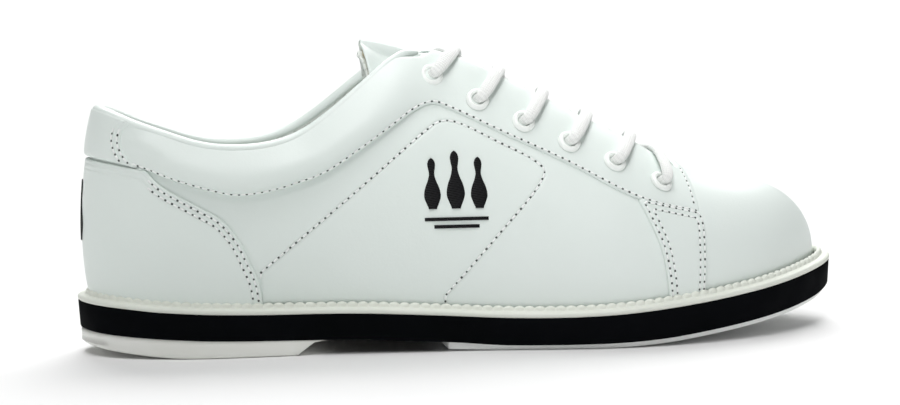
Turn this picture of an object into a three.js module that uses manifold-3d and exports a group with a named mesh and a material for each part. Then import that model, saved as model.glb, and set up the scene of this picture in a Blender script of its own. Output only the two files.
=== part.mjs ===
// A white lace-up bowling shoe for the right foot, built as separate pieces on one last surface.
// Frame: millimetres, +X from heel to toe, +Y towards the inner (medial) side, +Z up,
// the origin under the middle of the shoe, on the floor.
import * as THREE from "three";
import { mergeVertices } from "three/addons/utils/BufferGeometryUtils.js";
import Module from "manifold-3d";

const wasm = await Module();
wasm.setup();

// ---- Driving dimensions -------------------------------------------------------------------
const LENGTH = 302; // sole, heel to toe
const WIDTH = 102; // sole, across the ball
const GAP = 0.3; // clearance between pieces that touch
const WELT_INSET = 5.2; // inner face of the welt, in from the sole's edge
const WELT_THICK = 2.0;
const WELT_LIP = 4.2; // height of the scalloped lip above the midsole
const LIP_THICK = 1.7;
const LEATHER = 1.2; // one layer of upper leather
const LINING = 1.0;
const STIFFENER = 1.2;
const COLLAR_PUFF = 3.2; // how far the padded collar stands out
const PUFF_WIDTH = 13; // distance from a seam at which the padding is full
const SLIDE_THICK = 2.9;
const BOARD_THICK = 2.2;
const FOOTBED_THICK = 4.0;
const FOOTBED_INSET = 12.6;
const SHANK_LENGTH = 104;
const SHANK_WIDTH = 16;
const SHANK_THICK = 1.3;
const BINDING_RADIUS = 1.9;
const EYELET_WALL = 0.55;
const EYELET_RIM = 2.45; // width of the flange, from the bore outwards
const EYELET_RISE = 1.1;
const LACE_RADIUS = 1.65;
const LACE_CLEARANCE = 0.7; // round the lace in an eyelet
const EYELET_BORE = LACE_RADIUS + LACE_CLEARANCE;
const EYELET_FLANGE = EYELET_BORE + EYELET_RIM;
const TONGUE_CLEARANCE = 6.1; // from the last surface to the tongue, less the lace between them
const TONGUE_DROP = TONGUE_CLEARANCE + 2 * LACE_RADIUS; // from the last surface to its outer face
const TONGUE_TIP_DROP = 5.4; // its free end lies closer to the collar
const TONGUE_RAISE = 4.4; // its padded middle stands up this far in the open throat
const TONGUE_SKIN = 1.0;
const TONGUE_FOAM = 3.4;
const LACE_STEPS = 170;
const LACE_LOW = -1.6; // the two strands of a crossing, over the ridge
const LACE_HIGH = 2.3;
const LACE_BAR = 3.6;
const LACE_TAIL = [[-18, 98], [-22, 89], [-30, 80], [-40, 72]];
const AGLET_LENGTH = 22;
const AGLET_RADIUS = 1.5;

const BASE_INSET = WELT_INSET + GAP + LEATHER + GAP; // foot of the last surface, in from the sole's edge
const OVERLAY = [GAP, GAP + LEATHER]; // offsets of the outer layer from the last surface
const BASE = [-LEATHER, 0];
const STIFF = [-LEATHER - GAP - STIFFENER, -LEATHER - GAP];
const LINED = [STIFF[0] - GAP - LINING, STIFF[0] - GAP];

// ---- Small helpers ------------------------------------------------------------------------
// A smooth curve through [x, value] points, as a function of x.
function track(points) {
  const slope = points.map((p, i) => {
    const a = points[Math.max(0, i - 1)];
    const b = points[Math.min(points.length - 1, i + 1)];
    return (b[1] - a[1]) / (b[0] - a[0]);
  });
  return (x) => {
    if (x <= points[0][0]) return points[0][1];
    const i = points.findIndex((p) => p[0] >= x) - 1;
    if (i < 0) return points[points.length - 1][1];
    const h = points[i + 1][0] - points[i][0];
    const t = (x - points[i][0]) / h;
    const [t2, t3] = [t * t, t * t * t];
    return (
      (2 * t3 - 3 * t2 + 1) * points[i][1] +
      (t3 - 2 * t2 + t) * h * slope[i] +
      (3 * t2 - 2 * t3) * points[i + 1][1] +
      (t3 - t2) * h * slope[i + 1]
    );
  };
}

const smooth = (a, b, x) => {
  const t = THREE.MathUtils.clamp((x - a) / (b - a), 0, 1);
  return t * t * (3 - 2 * t);
};

// Signed distance to a closed outline of [x, z] points, positive inside.
function outlineDistance(points) {
  return (x, z) => {
    let nearest = Infinity;
    let inside = false;
    points.forEach(([ax, az], i) => {
      const [bx, bz] = points[(i + 1) % points.length];
      const [ex, ez] = [bx - ax, bz - az];
      const k = THREE.MathUtils.clamp(((x - ax) * ex + (z - az) * ez) / (ex * ex + ez * ez), 0, 1);
      nearest = Math.min(nearest, Math.hypot(x - ax - k * ex, z - az - k * ez));
      if (az > z !== bz > z && x < ax + ((z - az) / ez) * ex) inside = !inside;
    });
    return inside ? nearest : -nearest;
  };
}

const mirror = (points) => points.map(([x, y]) => [x, -y]);

// ---- The sole's outline and the heights along it ------------------------------------------
const HALF = LENGTH / 2;
const SIDE = WIDTH / 102;
// Lateral and medial edges at stations whose x is -HALF * cos(angle), so both sides share each x.
const EDGE_LATERAL = [-22.5, -34.5, -36.5, -43, -51, -39, -14.5].map((y) => y * SIDE);
const EDGE_MEDIAL = [22, 33, 32, 37.5, 48, 48.5, 34].map((y) => y * SIDE);
const TOE_SIDE = 8.5 * SIDE;
const stationX = (i) => -HALF * Math.cos((Math.PI * i) / 8);
const EDGE = new THREE.CatmullRomCurve3(
  [
    [-HALF, 0],
    ...EDGE_LATERAL.map((y, i) => [stationX(i + 1), y]),
    [HALF, TOE_SIDE],
    ...EDGE_MEDIAL.map((y, i) => [stationX(i + 1), y]).reverse(),
  ].map(([x, y]) => new THREE.Vector3(x, y, 0)),
  true,
  "catmullrom",
  0.5,
);

// A point of the sole's edge, moved in by inset. u runs 0 heel, 0.25 lateral, 0.5 toe, 0.75 medial.
function edgePoint(u, inset = 0) {
  const p = EDGE.getPoint(((u % 1) + 1) % 1);
  const step = 0.004;
  const ahead = EDGE.getPoint((((u + step) % 1) + 1) % 1);
  const behind = EDGE.getPoint((((u - step) % 1) + 1) % 1);
  const inward = new THREE.Vector3(behind.y - ahead.y, ahead.x - behind.x, 0).normalize();
  return p.addScaledVector(inward, inset);
}

const X = LENGTH / 302;
const along = (points) => track(points.map(([x, z]) => [x * X, z]));
const midsoleTop = along([
  [-151, 20.4], [-136, 19.3], [-121, 17.9], [-101, 16.8], [-80, 16.1], [-46, 15.5], [-19, 14.2],
  [12, 12.5], [42, 12.7], [74, 15], [110, 19], [138, 23.1], [151, 25.6],
]);
const midsoleBase = along([
  [-151, 9.8], [-136, 8.6], [-121, 7.6], [-101, 6.6], [-66, 5.7], [-46, 5.5], [-19, 3.9],
  [12, 2.8], [42, 2.8], [60, 3.4], [74, 4.4], [110, 8.5], [138, 12.9], [151, 16.8],
]);

// A solid between stacked rings of the same number of stations, heel to toe and back.
function stack(rings) {
  const n = rings[0].length;
  const half = n / 2;
  const position = rings.flat().flatMap((p) => [p.x, p.y, p.z]);
  const index = [];
  for (let k = 0; k + 1 < rings.length; k++)
    for (let i = 0; i < n; i++) {
      const [a, b] = [k * n + i, k * n + ((i + 1) % n)];
      index.push(a, b, b + n, a, b + n, a + n);
    }
  const top = (rings.length - 1) * n;
  for (let i = 0; i + 1 < half; i++) {
    const [a, b, c, d] = [i, i + 1, n - 2 - i, n - 1 - i];
    index.push(a, d, c, a, c, b);
    index.push(top + a, top + b, top + c, top + a, top + c, top + d);
  }
  return indexed(position, index);
}

function indexed(position, index) {
  const g = new THREE.BufferGeometry();
  g.setAttribute("position", new THREE.Float32BufferAttribute(position, 3));
  g.setIndex(index);
  return g;
}

// One ring of a sole layer: stations from u0 to u1 on the lateral side and back on the medial side.
const RING = 30;
function soleRing(u0, u1, inset, height) {
  const place = (u) => {
    const p = edgePoint(u, inset);
    p.z = height(p.x);
    return p;
  };
  const us = Array.from({ length: RING + 1 }, (_, i) => u0 + ((u1 - u0) * i) / RING);
  us[0] += u0 === 0 ? 0.004 : 0;
  us[RING] -= u1 === 0.5 ? 0.004 : 0;
  return [...us.map(place), ...us.map((u) => place(1 - u)).reverse()];
}

// ---- manifold-3d: only joins and cuts -----------------------------------------------------
function solid(geometry) {
  const bare = geometry.index ? geometry.toNonIndexed() : geometry.clone();
  bare.deleteAttribute("normal");
  bare.deleteAttribute("uv");
  const merged = mergeVertices(bare, 1e-3);
  return new wasm.Manifold(
    new wasm.Mesh({
      numProp: 3,
      vertProperties: new Float32Array(merged.attributes.position.array),
      triVerts: new Uint32Array(merged.index.array),
    }),
  );
}

function geometryOf(made) {
  const m = made.getMesh();
  const position = [];
  for (let i = 0; i < m.numVert; i++)
    position.push(...m.vertProperties.subarray(i * m.numProp, i * m.numProp + 3));
  return indexed(position, Array.from(m.triVerts));
}

const cut = (geometry, ...tools) =>
  geometryOf(tools.reduce((rest, tool) => rest.subtract(tool), solid(geometry)));

// ---- The last surface ---------------------------------------------------------------------
// Each station's wall rises from its foot on the sole's edge to a ridge over the shoe's middle.
const RIDGE_MIDDLE = -6.5 * X;
const RIDGE_HALF = 111.5 * X;
const ridgeTop = along([
  [-118, 130], [-80, 129], [-60, 127], [-45, 123.5], [-30, 120.5], [-15, 116], [0, 111.6],
  [16, 103.4], [32, 94.8], [50, 85.4], [65, 77.5], [81, 67.3], [95, 61.3], [106, 58.8],
]);
const ridgeSide = along([[-118, 0], [0, 0], [60, 3], [106, 6]]);
const roundness = along([[-144, 2.4], [-60, 2.3], [0, 2.15], [60, 2.15], [110, 2.35], [144, 2.4]]);
const bulge = along([[-144, 3.7], [-110, 3.6], [-60, 3.0], [0, 2.6], [60, 2.6], [110, 1.6], [144, 0.6]]);

function lastPoint(u, t) {
  const foot = edgePoint(u, BASE_INSET);
  const out = edgePoint(u, 0).sub(foot).normalize();
  foot.z = midsoleTop(foot.x) + GAP;
  const k = THREE.MathUtils.clamp(foot.x / (HALF - BASE_INSET), -1, 1);
  const x = RIDGE_MIDDLE + RIDGE_HALF * k * (1.5 - 0.5 * k * k);
  const power = 2 / roundness(foot.x);
  const a = (Math.min(1, Math.max(0, t)) * Math.PI) / 2;
  const inward = Math.pow(Math.cos(a), power);
  const up = Math.pow(Math.sin(a), power);
  const swell = bulge(foot.x) * Math.sin(Math.PI * Math.pow(up, 0.58));
  return new THREE.Vector3(
    x + (foot.x - x) * inward + out.x * swell,
    ridgeSide(x) + (foot.y - ridgeSide(x)) * inward + out.y * swell,
    foot.z + (ridgeTop(x) - foot.z) * up,
  );
}

function lastNormal(u, t) {
  const [du, dt] = [0.003, 0.01];
  const tc = THREE.MathUtils.clamp(t, 0.02, 0.98);
  const a = lastPoint(u + du, tc).sub(lastPoint(u - du, tc));
  const b = lastPoint(u, Math.min(1, tc + dt)).sub(lastPoint(u, tc - dt));
  const n = a.cross(b).normalize();
  if (t > 0.98) n.y *= 0.2;
  return n.normalize();
}

// The whole surface as a welded mesh, from which every upper piece is clipped. Its rows are spread
// between the foot, the lower seam, the top edge and the ridge, so that they follow those lines.
const AROUND = 48;
const ROWS = [4, 3, 4];
const RISE = ROWS[0] + ROWS[1] + ROWS[2];
function crossing(u, line) {
  const steps = 120;
  for (let k = 1; k < steps; k++) {
    const p = lastPoint(u, k / steps);
    if (p.z >= line(p.x)) return k / steps;
  }
  return 1;
}
function rowHeights(u) {
  const seam = Math.min(0.8, crossing(u, seamLine));
  const top = Math.min(0.9, Math.max(seam + 0.06, crossing(u, topLine)));
  const marks = [0, seam, top, 1];
  return ROWS.flatMap((n, part) =>
    Array.from({ length: n }, (_, k) => marks[part] + ((marks[part + 1] - marks[part]) * k) / n),
  ).concat(1);
}
function lastMesh() {
  const vertices = [];
  const index = [];
  const id = (i, j) => {
    const k = ((i % AROUND) + AROUND) % AROUND;
    if (j === RISE && k > AROUND / 2) return j * AROUND + (AROUND - k);
    return j * AROUND + k;
  };
  const heights = Array.from({ length: AROUND }, (_, i) => rowHeights(i / AROUND));
  for (let j = 0; j <= RISE; j++)
    for (let i = 0; i < AROUND; i++) {
      const [u, t] = [i / AROUND, heights[i][j]];
      vertices.push({ p: lastPoint(u, t), n: lastNormal(u, t) });
    }
  for (let j = 0; j < RISE; j++)
    for (let i = 0; i < AROUND; i++) {
      const [a, b, c, d] = [id(i, j), id(i + 1, j), id(i + 1, j + 1), id(i, j + 1)];
      if (a !== b && b !== c && a !== c) index.push([a, b, c]);
      if (a !== c && c !== d && a !== d) index.push([a, c, d]);
    }
  return { vertices, index };
}

// The part of the last where inside(point) is positive, as a shell between two offsets. Offsets are
// set at the last's own vertices, so that neighbouring layers keep the same facets.
function panel(inside, outer, inner) {
  const value = (h, p) => (typeof h === "function" ? h(p) : h);
  const vertices = LAST.vertices.map(({ p, n }) => {
    const f = inside(p);
    return { p, n, f: Math.abs(f) < 0.08 ? (f < 0 ? -0.08 : 0.08) : f, h: [value(outer, p), value(inner, p)] };
  });
  const cuts = new Map();
  const cutBetween = (a, b) => {
    const key = a < b ? a + "_" + b : b + "_" + a;
    if (!cuts.has(key)) {
      const [va, vb] = a < b ? [vertices[a], vertices[b]] : [vertices[b], vertices[a]];
      const k = THREE.MathUtils.clamp(va.f / (va.f - vb.f), 0.06, 0.94);
      cuts.set(key, vertices.length);
      vertices.push({
        p: va.p.clone().lerp(vb.p, k),
        n: va.n.clone().lerp(vb.n, k).normalize(),
        f: 0,
        h: va.h.map((h, i) => h + (vb.h[i] - h) * k),
      });
    }
    return cuts.get(key);
  };
  const kept = [];
  for (const tri of LAST.index) {
    const loop = [];
    tri.forEach((a, i) => {
      const b = tri[(i + 1) % 3];
      if (vertices[a].f > 0) loop.push(a);
      if (vertices[a].f > 0 !== vertices[b].f > 0) loop.push(cutBetween(a, b));
    });
    for (let i = 1; i + 1 < loop.length; i++) kept.push([loop[0], loop[i], loop[i + 1]]);
  }
  const used = [...new Set(kept.flat())];
  const place = new Map(used.map((v, i) => [v, i]));
  const position = [0, 1].flatMap((side) =>
    used.flatMap((i) => {
      const v = vertices[i];
      return v.p.clone().addScaledVector(v.n, v.h[side]).toArray();
    }),
  );
  const back = used.length;
  const edges = new Set(kept.flatMap((t) => t.map((a, i) => a + "_" + t[(i + 1) % 3])));
  const index = [];
  for (const t of kept) {
    const [a, b, c] = t.map((v) => place.get(v));
    index.push(a, b, c, back + a, back + c, back + b);
    t.forEach((v, i) => {
      const w = t[(i + 1) % 3];
      if (edges.has(w + "_" + v)) return;
      const [p, q] = [place.get(v), place.get(w)];
      index.push(p, back + p, back + q, p, back + q, q);
    });
  }
  return largest(indexed(position, index));
}

// The biggest body of a clipped shell, without slivers that clipping leaves apart from it.
function largest(geometry) {
  const bodies = solid(geometry).decompose();
  return geometryOf(bodies.reduce((a, b) => (a.volume() > b.volume() ? a : b)));
}

// ---- Seam lines on the side of the shoe, as [x, z] ----------------------------------------
const sx = (points) => points.map(([x, z]) => [x * X, z]);
const TOPLINE = sx([
  [-160, 97], [-142, 94], [-135, 91.5], [-128, 88.5], [-116, 84.2], [-106, 80.8], [-97, 79.2],
  [-88, 78.9], [-77, 80], [-67, 83.3], [-56, 90.4], [-40, 103.2], [-30, 111], [-24, 113.5], [-19, 114],
]);
const THROAT = sx([
  [-13.5, 112.4], [-2, 108.8], [16, 99.8], [32, 91.6], [50, 82.4], [65, 75], [81, 64.8],
]);
const COLLAR_SEAM = sx([
  [-160, 77], [-145, 75.6], [-133, 73.4], [-124, 70.4], [-114, 66.4], [-100, 61.9], [-92, 60.2],
  [-85, 60.4], [-76, 61.9], [-68, 64.3], [-58, 68], [-45, 76.4], [-32, 85.2], [-22, 92],
]);
const FACING_SEAM = sx([[-16, 93.7], [-9, 91.3], [9, 82.4], [32, 71.2], [62, 55.4]]);
const COUNTER_EDGE = sx([
  [-124, 70.4], [-119, 65], [-107, 57.8], [-97, 51.8], [-90.5, 43.9], [-86.8, 36], [-83.3, 27], [-81.5, 10],
]);
const TAB_EDGE = sx([[-124, 70.4], [-129, 73.6], [-131.4, 77.5], [-132.2, 81.5], [-131.2, 85], [-128, 88.6]]);
const BAND_BACK = sx([[62, 55.4], [66.3, 46.4], [70.2, 36], [72.7, 18], [73, 6]]);
const BAND_FRONT = sx([[85, 65], [85.6, 55], [85.8, 49], [86.8, 45], [86.4, 35], [85.3, 17], [85, 6]]);

const TOP_DROP = BINDING_RADIUS * 2 + GAP; // the panels stop here, under the binding
const UNDER_BINDING = TOPLINE.map(([x, z]) => [x, z - TOP_DROP]);
const seamLine = track([...COLLAR_SEAM, ...FACING_SEAM, ...sx([[86, 48.6], [110, 45], [132, 40], [146, 33]])]);
const topLine = track([...UNDER_BINDING, ...THROAT, ...sx([[100, 56], [122, 52], [138, 45], [146, 38.5]])]);
const throatAt = track(THROAT);
const LAST = lastMesh();

const upperShape = outlineDistance([
  ...UNDER_BINDING,
  ...THROAT,
  [81 * X, 90], [200, 90], [200, -20], [-200, -20], [-200, 97 - TOP_DROP],
]);
const aboveSeam = outlineDistance([...COLLAR_SEAM, ...FACING_SEAM, [300, -60], [300, 300], [-200, 300], [-200, 77]]);
const behindCounter = outlineDistance([[-200, 77], ...COUNTER_EDGE, [-200, 0]]);
const behindTab = outlineDistance([[-200, 60], ...TAB_EDGE, [-129, 120], [-200, 120]]);
const bandShape = outlineDistance([...BAND_BACK, ...[...BAND_FRONT].reverse().slice(0, 5)]);
const facingShape = outlineDistance([
  [-200, 160], ...COLLAR_SEAM, ...FACING_SEAM, ...BAND_FRONT.slice(0, 3).reverse(), [80 * X, 90], [60 * X, 160],
]);

const both = (...values) => Math.min(...values);
const lateral = (p) => ridgeSide(p.x) - p.y;
const medial = (p) => p.y - ridgeSide(p.x);
const hi = (p) => upperShape(p.x, p.z);
const seamGap = GAP / 2;
const isCollar = (p) => both(hi(p), aboveSeam(p.x, p.z));
// Padding fades out towards the seams and along the facing.
const puff = (p) => {
  const d = Math.max(0, Math.min(1, isCollar(p) / PUFF_WIDTH));
  return COLLAR_PUFF * Math.sqrt(1 - (1 - d) ** 2) * (1 - smooth(-48 * X, -18 * X, p.x));
};

// ---- Materials ----------------------------------------------------------------------------
const finish = (color, roughness, metalness = 0) =>
  new THREE.MeshStandardMaterial({ color, roughness, metalness });
const leather = finish(0xeef1ee, 0.45);
const liningCloth = finish(0xe9e9e4, 0.9);
const whiteRubber = finish(0xe6e8dd, 0.6);
const blackRubber = finish(0x0b0b0d, 0.7);
const suede = finish(0xdcdcd2, 0.95);
const boardCard = finish(0xb9a588, 0.9);
const plastic = finish(0xd8dcd8, 0.6);
const steel = finish(0x9a9da0, 0.35, 1);
const foam = finish(0xe8dfc0, 0.95);
const laceCloth = finish(0xf0f2ee, 0.85);
const eyeletPaint = finish(0xeff1ed, 0.3);

const shoe = new THREE.Group();
function add(name, geometry, material) {
  const mesh = new THREE.Mesh(geometry, material);
  mesh.name = name;
  shoe.add(mesh);
  return mesh;
}

// ---- Sole unit ----------------------------------------------------------------------------
const raised = (height, by) => (x) => height(x) + by;
const stationOf = (x) => Math.acos(THREE.MathUtils.clamp(-x / HALF, -1, 1)) / Math.PI / 2;

// Shank: a steel strip under the arch, let into the midsole's top.
const SHANK_START = -78 * X;
function strip(x0, x1, width, low, high) {
  const n = 12;
  const ring = (dz) => {
    const xs = Array.from({ length: n + 1 }, (_, i) => x0 + ((x1 - x0) * i) / n);
    const point = (x, y) => new THREE.Vector3(x, y, midsoleTop(x) + dz);
    return [...xs.map((x) => point(x, -width / 2)), ...xs.map((x) => point(x, width / 2)).reverse()];
  };
  return stack([ring(low), ring(high)]);
}
const shank = strip(SHANK_START, SHANK_START + SHANK_LENGTH, SHANK_WIDTH, -GAP - SHANK_THICK, -GAP);
const shankSlot = strip(
  SHANK_START - GAP, SHANK_START + SHANK_LENGTH + GAP, SHANK_WIDTH + 2 * GAP, -2 * GAP - SHANK_THICK, 1,
);

const MIDSOLE_ROUND = 0.8;
const midsole = stack([
  soleRing(0, 0.5, MIDSOLE_ROUND + 0.6, midsoleBase),
  soleRing(0, 0.5, 0.5, raised(midsoleBase, MIDSOLE_ROUND)),
  soleRing(0, 0.5, 0, raised(midsoleTop, -MIDSOLE_ROUND)),
  soleRing(0, 0.5, MIDSOLE_ROUND * 0.4, midsoleTop),
]);
add("midsole", cut(midsole, solid(shankSlot)), blackRubber);
add("shank", shank, steel);

const HEEL_TOP_END = -59 * X;
const HEEL_FLOOR_END = -71 * X;
const HEEL_BEVEL = 0.8;
// Flat on the floor, and worn round at the very back.
const heelBase = along([[-151, 4.4], [-143, 3.2], [-130, 1.6], [-118, 0.4], [-110, 0], [-50, 0]]);
const heelFloor = (x) => Math.max(0, heelBase(x));
add(
  "heel_lift",
  stack([
    soleRing(0, stationOf(HEEL_FLOOR_END), 2.2, heelFloor),
    soleRing(0, stationOf(HEEL_FLOOR_END + 2), 1.2, raised(heelFloor, HEEL_BEVEL)),
    soleRing(0, stationOf(HEEL_TOP_END), 1, raised(midsoleBase, -GAP / 2)),
  ]),
  whiteRubber,
);

const SLIDE_START = -14 * X;
const SLIDE_ROUND = 1;
const slideTop = raised(midsoleBase, -GAP / 2);
const slideBase = (x) => Math.max(0, midsoleBase(x) - SLIDE_THICK);
add(
  "slide_sole",
  stack([
    soleRing(stationOf(SLIDE_START), 0.5, 3.6, slideBase),
    soleRing(stationOf(SLIDE_START), 0.5, 1.8, raised(slideBase, SLIDE_ROUND)),
    soleRing(stationOf(SLIDE_START), 0.5, 1.6, slideTop),
  ]),
  suede,
);

// Welt: an L-section swept round the sole's edge.
function swept(profile, count) {
  const m = profile.length;
  const position = [];
  const index = [];
  for (let i = 0; i < count; i++)
    for (const [inset, rise] of profile) {
      const p = edgePoint(i / count, inset);
      position.push(p.x, p.y, midsoleTop(p.x) + rise);
    }
  for (let i = 0; i < count; i++)
    for (let k = 0; k < m; k++) {
      const [a, b] = [i * m + k, i * m + ((k + 1) % m)];
      const [c, d] = [((i + 1) % count) * m + k, ((i + 1) % count) * m + ((k + 1) % m)];
      index.push(a, c, d, a, d, b);
    }
  return indexed(position, index);
}
const LIP_FACE = WELT_INSET - LIP_THICK;
add(
  "welt",
  swept(
    [
      [0.2, GAP / 2], [0, WELT_THICK * 0.5], [0.6, WELT_THICK], [LIP_FACE, WELT_THICK + GAP],
      [LIP_FACE + 0.3, WELT_LIP], [WELT_INSET, WELT_LIP], [WELT_INSET, GAP / 2],
    ],
    48,
  ),
  whiteRubber,
);

const inBoard = BASE_INSET - LINED[0] + GAP * 2;
add(
  "insole_board",
  stack([
    soleRing(0, 0.5, inBoard, raised(midsoleTop, GAP / 2)),
    soleRing(0, 0.5, inBoard, raised(midsoleTop, GAP / 2 + BOARD_THICK)),
  ]),
  boardCard,
);
const footbedBase = GAP + BOARD_THICK + GAP / 2;
add(
  "footbed",
  stack([
    soleRing(0, 0.5, FOOTBED_INSET, raised(midsoleTop, footbedBase)),
    soleRing(0, 0.5, FOOTBED_INSET, raised(midsoleTop, footbedBase + FOOTBED_THICK - 1)),
    soleRing(0, 0.5, FOOTBED_INSET + 2, raised(midsoleTop, footbedBase + FOOTBED_THICK)),
  ]),
  liningCloth,
);

// ---- Eyelets: places first, because the facings and linings are pierced for them -----------
const EYELET_SPOTS = sx([[-15.8, 104.8], [1.2, 95.3], [18.4, 86.6], [35.6, 78.3], [53, 70.4], [71, 62.2]]);
// The point of the last at [x, z] on one side, by bisection.
function findOnLast(x, z, side) {
  let [u, t] = [stationOf(x), 0.5];
  const place = (uu, tt) => lastPoint(side < 0 ? uu : 1 - uu, tt);
  for (let k = 0; k < 60; k++) {
    const p = place(u, t);
    u = THREE.MathUtils.clamp(u + (x - p.x) * 0.0012, 0.002, 0.498);
    t = THREE.MathUtils.clamp(t + (z - p.z) * 0.006, 0, 1);
  }
  const uu = side < 0 ? u : 1 - u;
  return { p: lastPoint(uu, t), n: lastNormal(uu, t) };
}
const spots = EYELET_SPOTS.map(([x, z]) => ({ "-1": findOnLast(x, z, -1), 1: findOnLast(x, z, 1) }));

const UP = new THREE.Vector3(0, 0, 1);
const eyeletHole = (EYELET_BORE + EYELET_WALL + GAP) / Math.cos(Math.PI / 8);
function standing(geometry, spot, height) {
  const g = geometry.clone();
  g.rotateX(Math.PI / 2);
  g.applyQuaternion(new THREE.Quaternion().setFromUnitVectors(UP, spot.n));
  g.translate(...spot.p.clone().addScaledVector(spot.n, height).toArray());
  return g;
}
const piercer = new THREE.CylinderGeometry(eyeletHole, eyeletHole, 16, 8);
const holes = { "-1": [], 1: [] };
for (const spot of spots)
  for (const side of [-1, 1]) holes[side].push(solid(standing(piercer, spot[side], -2)));

const barrelLow = LINED[0] + GAP;
const eyeletSection = [
  [EYELET_BORE, barrelLow],
  [EYELET_BORE + EYELET_WALL, barrelLow],
  [EYELET_BORE + EYELET_WALL, OVERLAY[1] + GAP],
  [EYELET_FLANGE, OVERLAY[1] + GAP],
  [EYELET_BORE + 1.1, OVERLAY[1] + GAP + EYELET_RISE],
  [EYELET_BORE, OVERLAY[1] + GAP + EYELET_RISE * 0.5],
  [EYELET_BORE, barrelLow],
].map(([r, y]) => new THREE.Vector2(r, y));
const eyelet = new THREE.LatheGeometry(eyeletSection, 10);
spots.forEach((spot, i) => {
  for (const [side, word] of [[-1, "lateral"], [1, "medial"]])
    add(`${word}_eyelet_${i + 1}`, standing(eyelet, spot[side], 0), eyeletPaint);
});

// ---- Upper --------------------------------------------------------------------------------
const VAMP_BACK = 84 * X;
add("vamp", panel((p) => both(p.x - VAMP_BACK, hi(p)), BASE[1], BASE[0]), leather);

const quarterTop = (p) => (p.x < -20 * X ? 0.9 : 200) - aboveSeam(p.x, p.z);
const quarter = (side) => (p) =>
  both(hi(p), quarterTop(p), VAMP_BACK - GAP - p.x, side(p) - seamGap);
const facing = (side) => (p) =>
  both(hi(p), facingShape(p.x, p.z) - seamGap, -behindTab(p.x, p.z) - seamGap, side(p) - seamGap);
const aboveWelt = (p) => p.z - midsoleTop(p.x) - WELT_LIP - 2 * GAP;
const band = (side) => (p) => both(bandShape(p.x, p.z) - seamGap, aboveWelt(p), side(p));
const outerPuff = (p) => OVERLAY[1] + puff(p);
const innerPuff = (p) => OVERLAY[0] + puff(p);
for (const [word, side, key] of [["lateral", lateral, -1], ["medial", medial, 1]]) {
  add(`${word}_quarter`, cut(panel(quarter(side), BASE[1], BASE[0]), ...holes[key]), leather);
  add(`${word}_facing`, cut(panel(facing(side), outerPuff, innerPuff), ...holes[key]), leather);
  add(`${word}_side_band`, panel(band(side), OVERLAY[1], OVERLAY[0]), leather);
}
add(
  "heel_counter_cover",
  panel(
    (p) => both(behindCounter(p.x, p.z) - seamGap, -aboveSeam(p.x, p.z) - seamGap, aboveWelt(p)),
    OVERLAY[1], OVERLAY[0],
  ),
  leather,
);
add(
  "heel_tab",
  panel((p) => both(hi(p), aboveSeam(p.x, p.z) - seamGap, behindTab(p.x, p.z) - seamGap), outerPuff, innerPuff),
  leather,
);

const FOAM_END = -30 * X;
add(
  "collar_foam",
  panel((p) => both(isCollar(p) - 1.5, FOAM_END - p.x), puff, STIFF[0]),
  foam,
);
const COUNTER_HEIGHT = 52;
const COUNTER_LENGTH = 58 * X;
add(
  "heel_stiffener",
  panel((p) => both(-HALF + COUNTER_LENGTH - p.x, COUNTER_HEIGHT - p.z), STIFF[1], STIFF[0]),
  plastic,
);
const TOE_PUFF_LENGTH = 44 * X;
add("toe_puff", panel((p) => p.x - HALF + TOE_PUFF_LENGTH, STIFF[1], STIFF[0]), plastic);
const LINING_SPLIT = 24 * X;
const openHoles = [...holes[-1], ...holes[1]];
add(
  "vamp_lining",
  cut(panel((p) => both(hi(p), p.x - LINING_SPLIT), LINED[1], LINED[0]), ...openHoles),
  liningCloth,
);
add(
  "quarter_lining",
  cut(panel((p) => both(hi(p), LINING_SPLIT - GAP - p.x), LINED[1], LINED[0]), ...openHoles),
  liningCloth,
);

// Topline binding: a soft roll round the ankle opening.
function tube(points, radius, steps, sides, closed = false) {
  const section = new THREE.Shape();
  for (let i = 0; i < sides; i++) {
    const a = (2 * Math.PI * i) / sides;
    const [x, y] = [radius * Math.cos(a), radius * Math.sin(a)];
    if (i) section.lineTo(x, y);
    else section.moveTo(x, y);
  }
  const path = new THREE.CatmullRomCurve3(points, closed, "centripetal");
  return new THREE.ExtrudeGeometry(section, { extrudePath: path, steps, bevelEnabled: false });
}
const toplineAt = track(TOPLINE);
const BINDING_END = -19 * X;
function toplinePoint(x, side) {
  const z = toplineAt(x);
  const spot = findOnLast(x, z - TOP_DROP / 2, side);
  const middle = (LINED[0] + OVERLAY[1]) / 2;
  return spot.p.clone().addScaledVector(spot.n, middle).setZ(z - BINDING_RADIUS);
}
const bindingXs = [BINDING_END, -25 * X, -34 * X, -46 * X, -58 * X, -70 * X, -84 * X, -98 * X, -112 * X, -124 * X, -133 * X, -138 * X];
const heelBack = () => {
  const p = lastPoint(0, 0.5);
  p.x = -142.2 * X + (LINED[0] + OVERLAY[1]) / -2;
  p.z = toplineAt(p.x) - BINDING_RADIUS;
  return p;
};
add(
  "topline_binding",
  tube(
    [...bindingXs.map((x) => toplinePoint(x, -1)), heelBack(), ...bindingXs.map((x) => toplinePoint(x, 1)).reverse()],
    BINDING_RADIUS, 48, 6,
  ),
  leather,
);

// ---- Tongue: three layers that hang from the throat -----------------------------------------
const TONGUE_ROOT = 84 * X;
const TONGUE_TIP = -44 * X;
const tongueHalf = along([[-50, 28], [-20, 26], [0, 24], [40, 21], [76, 17]]);
const tongueLow = along([[-50, 93], [-20, 86], [0, 80], [20, 71], [50, 58], [86, 44]]);
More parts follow.
